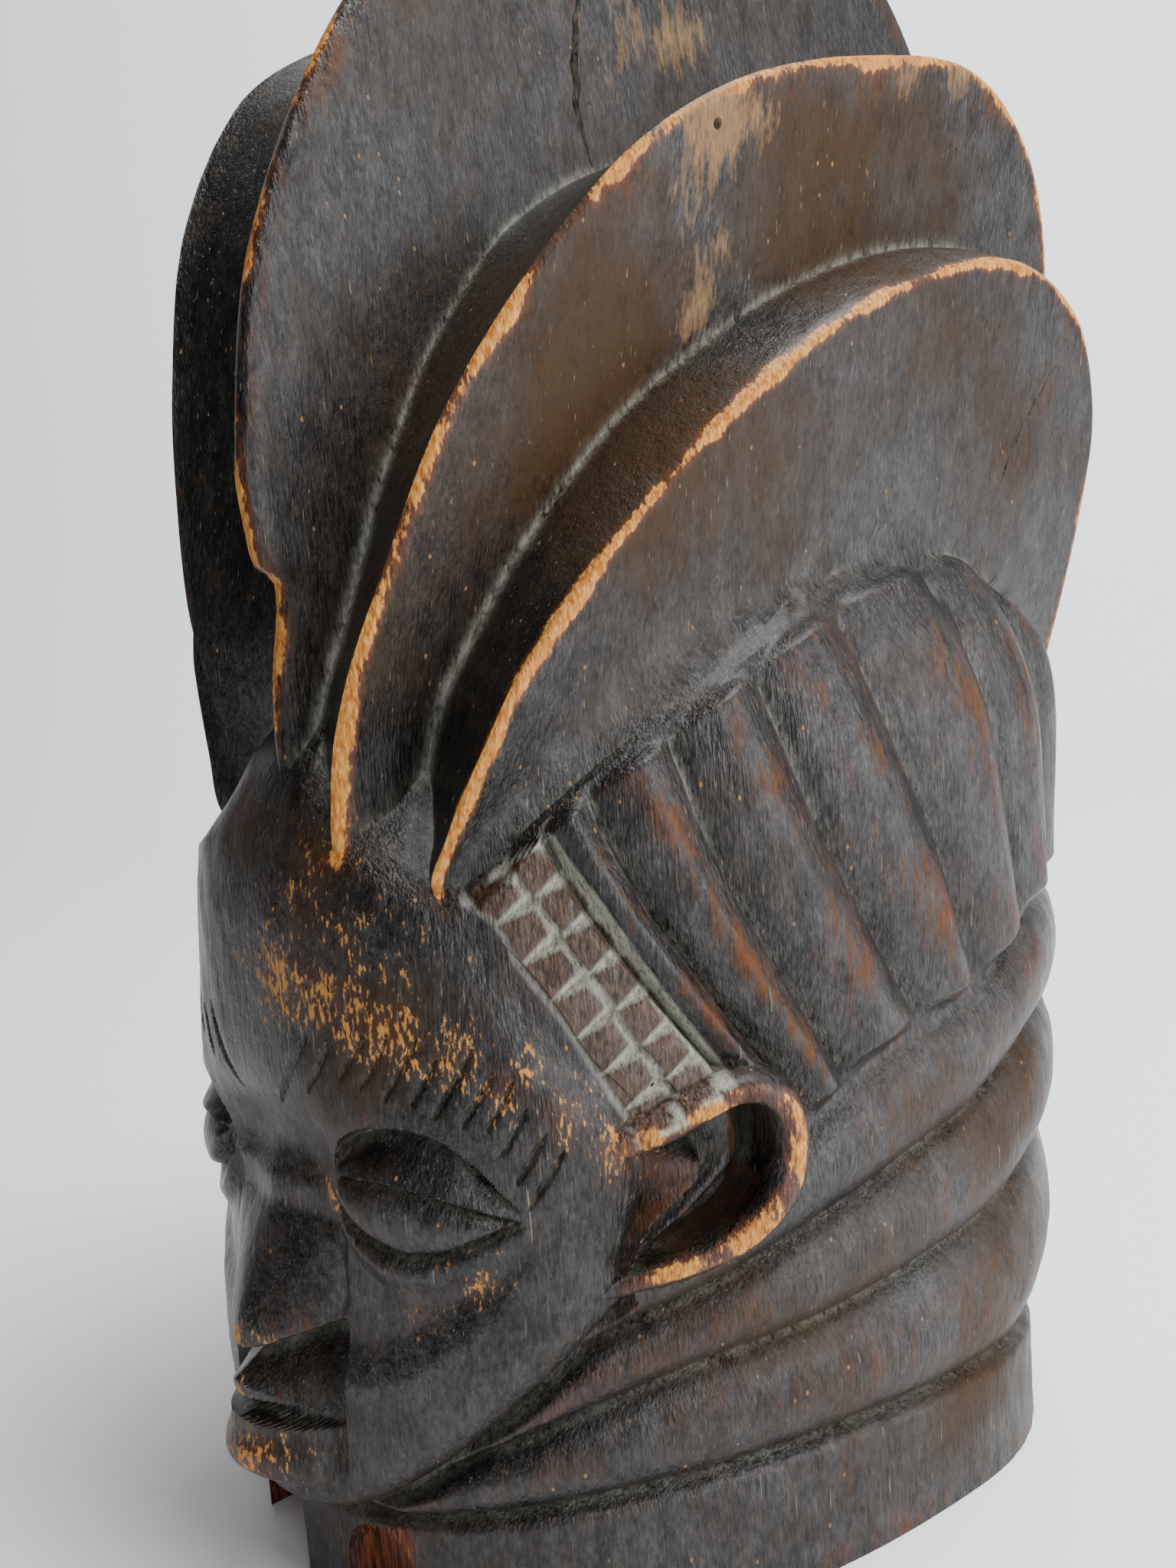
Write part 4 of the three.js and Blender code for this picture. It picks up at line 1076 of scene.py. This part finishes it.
def dark_hardwood():
    """Carved hardwood, stained nearly black, oiled and handled: dark brown with a soft grey gloss,
    orange-tan where edges are rubbed through, reddish on the folds, dusty in the cuts, with painted shade
    in the worm holes."""
    material = bpy.data.materials.new("oiled_dark_hardwood")
    material.use_nodes = True
    tree = material.node_tree
    tree.nodes.clear()
    place = node(tree, "ShaderNodeTexCoord").outputs["Object"]
    wood = wood_patterns(tree, place)
    mark = {name: node(tree, "ShaderNodeAttribute", attribute_name=name).outputs["Fac"] for name in MARKS}
    pits = {"hole": worm_holes(tree, place, wood["blotch"]), "scratch": scratches(tree, place),
            "chip": chips(tree, place)}
    # knocks and scratches show the paler wood, splits show coarse fibres, and the inside is dry bare wood
    share = {
        **stain_shares(tree, wood, mark),
        **fold_shares(tree, wood, mark),
        **rubbed_shares(tree, wood, mark),
        "chip": node(tree, MATH, {0: pits["chip"], 1: 0.8}, operation="MULTIPLY"),
        "scratch": node(tree, MATH, {0: pits["scratch"], 1: 0.5}, operation="MULTIPLY"),
        "dust": dust_share(tree, wood, mark),
        "raw": mark["raw"],
        "inside": mark["inside"],
        # painted shade: the worm holes are coloured near black
        "hole": pits["hole"],
    }
    between = {
        "fold": wood["fleck"],
        "edge": node(tree, RANGE, {0: wood["fleck"], 1: 0.38, 2: 0.66}),
        "bare": wood["grain"],
        "raw": node(tree, RANGE, {0: wood["grain"], 1: 0.4, 2: 0.62}),
        "inside": wood["breakup"],
    }
    # soft gloss: the oil has sunk in unevenly, and shines least where it is worn, dusty or inside
    dull = pits["chip"]
    for name in ("edge", "bare", "dust", "inside", "raw", "rubbed", "fold", "warm"):
        dull = node(tree, MATH, {0: dull, 1: share[name]}, operation="MAXIMUM")
    uneven = node(tree, MATH, {0: wood["blotch"], 1: wood["breakup"]}, operation="ADD")
    gloss = node(tree, RANGE, {0: uneven, 1: 0.75, 2: 1.25, 3: 0.26, 4: 0.42})
    shine = node(tree, RANGE, {0: wood["speckle"], 1: 0.78, 2: 1.22, 3: 0.25, 4: 0.65})
    surface = node(tree, "ShaderNodeBsdfPrincipled", {
        "Base Color": coated_colour(tree, share, between),
        "Roughness": node(tree, MIX, {0: dull, 2: gloss, 3: 0.75}),
        "Specular IOR Level": node(tree, MIX, {0: dull, 2: shine, 3: 0.12}),
        "Normal": relief(tree, wood, mark, pits),
        "IOR": 1.5,
        "Metallic": 0.0,
        "Coat Weight": 0.12,
        "Coat Roughness": 0.25,
    })
    node(tree, "ShaderNodeOutputMaterial", {"Surface": surface})
    return material


def pale_paper(name, code):
    """Matt card for the floor and the wall behind: nearly white, no gloss."""
    material = bpy.data.materials.new(name)
    material.use_nodes = True
    surface = material.node_tree.nodes["Principled BSDF"]
    surface.inputs["Base Color"].default_value = linear(code)
    surface.inputs["Roughness"].default_value = 0.9
    return material


CAMERA_TURN = math.radians(50.15)  # the camera looks this far round from the mask's front


def make_stage():
    """A pale floor that curves up into a pale wall well behind the mask, square to the camera: a straight
    floor, a quarter circle and a straight wall, carried across."""
    turn = np.linspace(0, 90, 13) * DEG
    bend = 0.5
    back = 1.0
    reach = np.concatenate([[-1.8], back + bend * np.sin(turn), [back + bend]])
    rise = np.concatenate([[0.0], bend * (1 - np.cos(turn)), [3.0]])
    wide = np.array([-2.4, 2.6])
    away = np.array([-math.sin(CAMERA_TURN), math.cos(CAMERA_TURN)])
    across = np.array([math.cos(CAMERA_TURN), math.sin(CAMERA_TURN)])
    plan = reach[:, None, None] * away + wide[None, :, None] * across
    high = np.broadcast_to(rise[:, None, None], (len(rise), 2, 1))
    points = np.concatenate([plan, high], -1).reshape(-1, 3)
    faces = [(2 * i, 2 * i + 1, 2 * i + 3, 2 * i + 2) for i in range(len(rise) - 1)]
    mesh = bpy.data.meshes.new("paper_sweep")
    mesh.from_pydata(points.tolist(), [], faces)
    mesh.materials.append(pale_paper("pale_paper", "#f8fafc"))
    mesh.shade_smooth()
    sweep = bpy.data.objects.new("paper_sweep", mesh)
    bpy.context.scene.collection.objects.link(sweep)


def stand(thing, axes, place):
    """Links a lamp or camera at a place, turned to its right, up and back axes."""
    bpy.context.scene.collection.objects.link(thing)
    rows = [[*row, p] for row, p in zip(np.array(axes).T, place)]
    thing.matrix_world = Matrix([*rows, [0, 0, 0, 1]])


def add_lamp(name, place, target, size, watts, code):
    """A large soft square lamp at a place, facing the target."""
    lamp = bpy.data.lights.new(name, "AREA")
    lamp.size = size
    lamp.energy = watts
    lamp.color = linear(code)[:3]
    back = np.array(place, float) - np.array(target, float)
    back = back / np.linalg.norm(back)
    right = np.cross([0, 0, 1], back)
    right = right / np.linalg.norm(right)
    stand(bpy.data.objects.new(name, lamp), [right, np.cross(back, right), back], place)


def make_lights():
    """A broad window to the right and behind for the gloss, a smaller lamp at the right front, a ceiling
    lamp over the paper, and a dim room all round."""
    add_lamp("window", (1.4, 0.5, 0.5), (0, 0, 0.2), 1.4, 40, "#fcfcff")
    add_lamp("side_lamp", (1.1, -0.75, 0.75), (0, 0, 0.2), 0.5, 4, "#ffffff")
    add_lamp("ceiling", (0.4, 0.5, 2.0), (0.1, 0.7, 0.5), 1.0, 66, "#ffffff")
    world = bpy.data.worlds.new("room")
    bpy.context.scene.world = world
    world.use_nodes = True
    room = world.node_tree.nodes["Background"]
    room.inputs["Color"].default_value = linear("#eef1f5")
    room.inputs["Strength"].default_value = 0.09


# The photograph's camera, fitted to the mask: its place in millimetres, its axes, its focal length
CAMERA_PLACE = np.array([400.3, -371.4 + SHIFT_Y, 293.3])
CAMERA_RIGHT = (0.649, 0.7567, -0.0792)
CAMERA_UP = (-0.076, 0.1681, 0.9828)
CAMERA_BACK = (0.757, -0.6318, 0.1666)
FOCAL_PX = 2300
PHOTO_HEIGHT_PX = 2048
SENSOR_MM = 36


def make_camera():
    """The camera at the photograph's viewing angle; its long side is the frame's height."""
    camera = bpy.data.cameras.new("photo_camera")
    camera.sensor_width = SENSOR_MM
    camera.lens = SENSOR_MM * FOCAL_PX / PHOTO_HEIGHT_PX
    camera.clip_start = 0.01
    thing = bpy.data.objects.new("photo_camera", camera)
    stand(thing, [CAMERA_RIGHT, CAMERA_UP, CAMERA_BACK], CAMERA_PLACE * MM)
    bpy.context.scene.camera = thing


mask = make_mask()
mark_surface(mask)
mask.data.materials.clear()
mask.data.materials.append(dark_hardwood())
mask.data.shade_smooth()
mask.data.set_sharp_from_angle(angle=math.radians(42))
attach(mask, "root")
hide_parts("helmet_mask")
make_stage()
make_lights()
make_camera()

print("faces", len(mask.data.polygons))
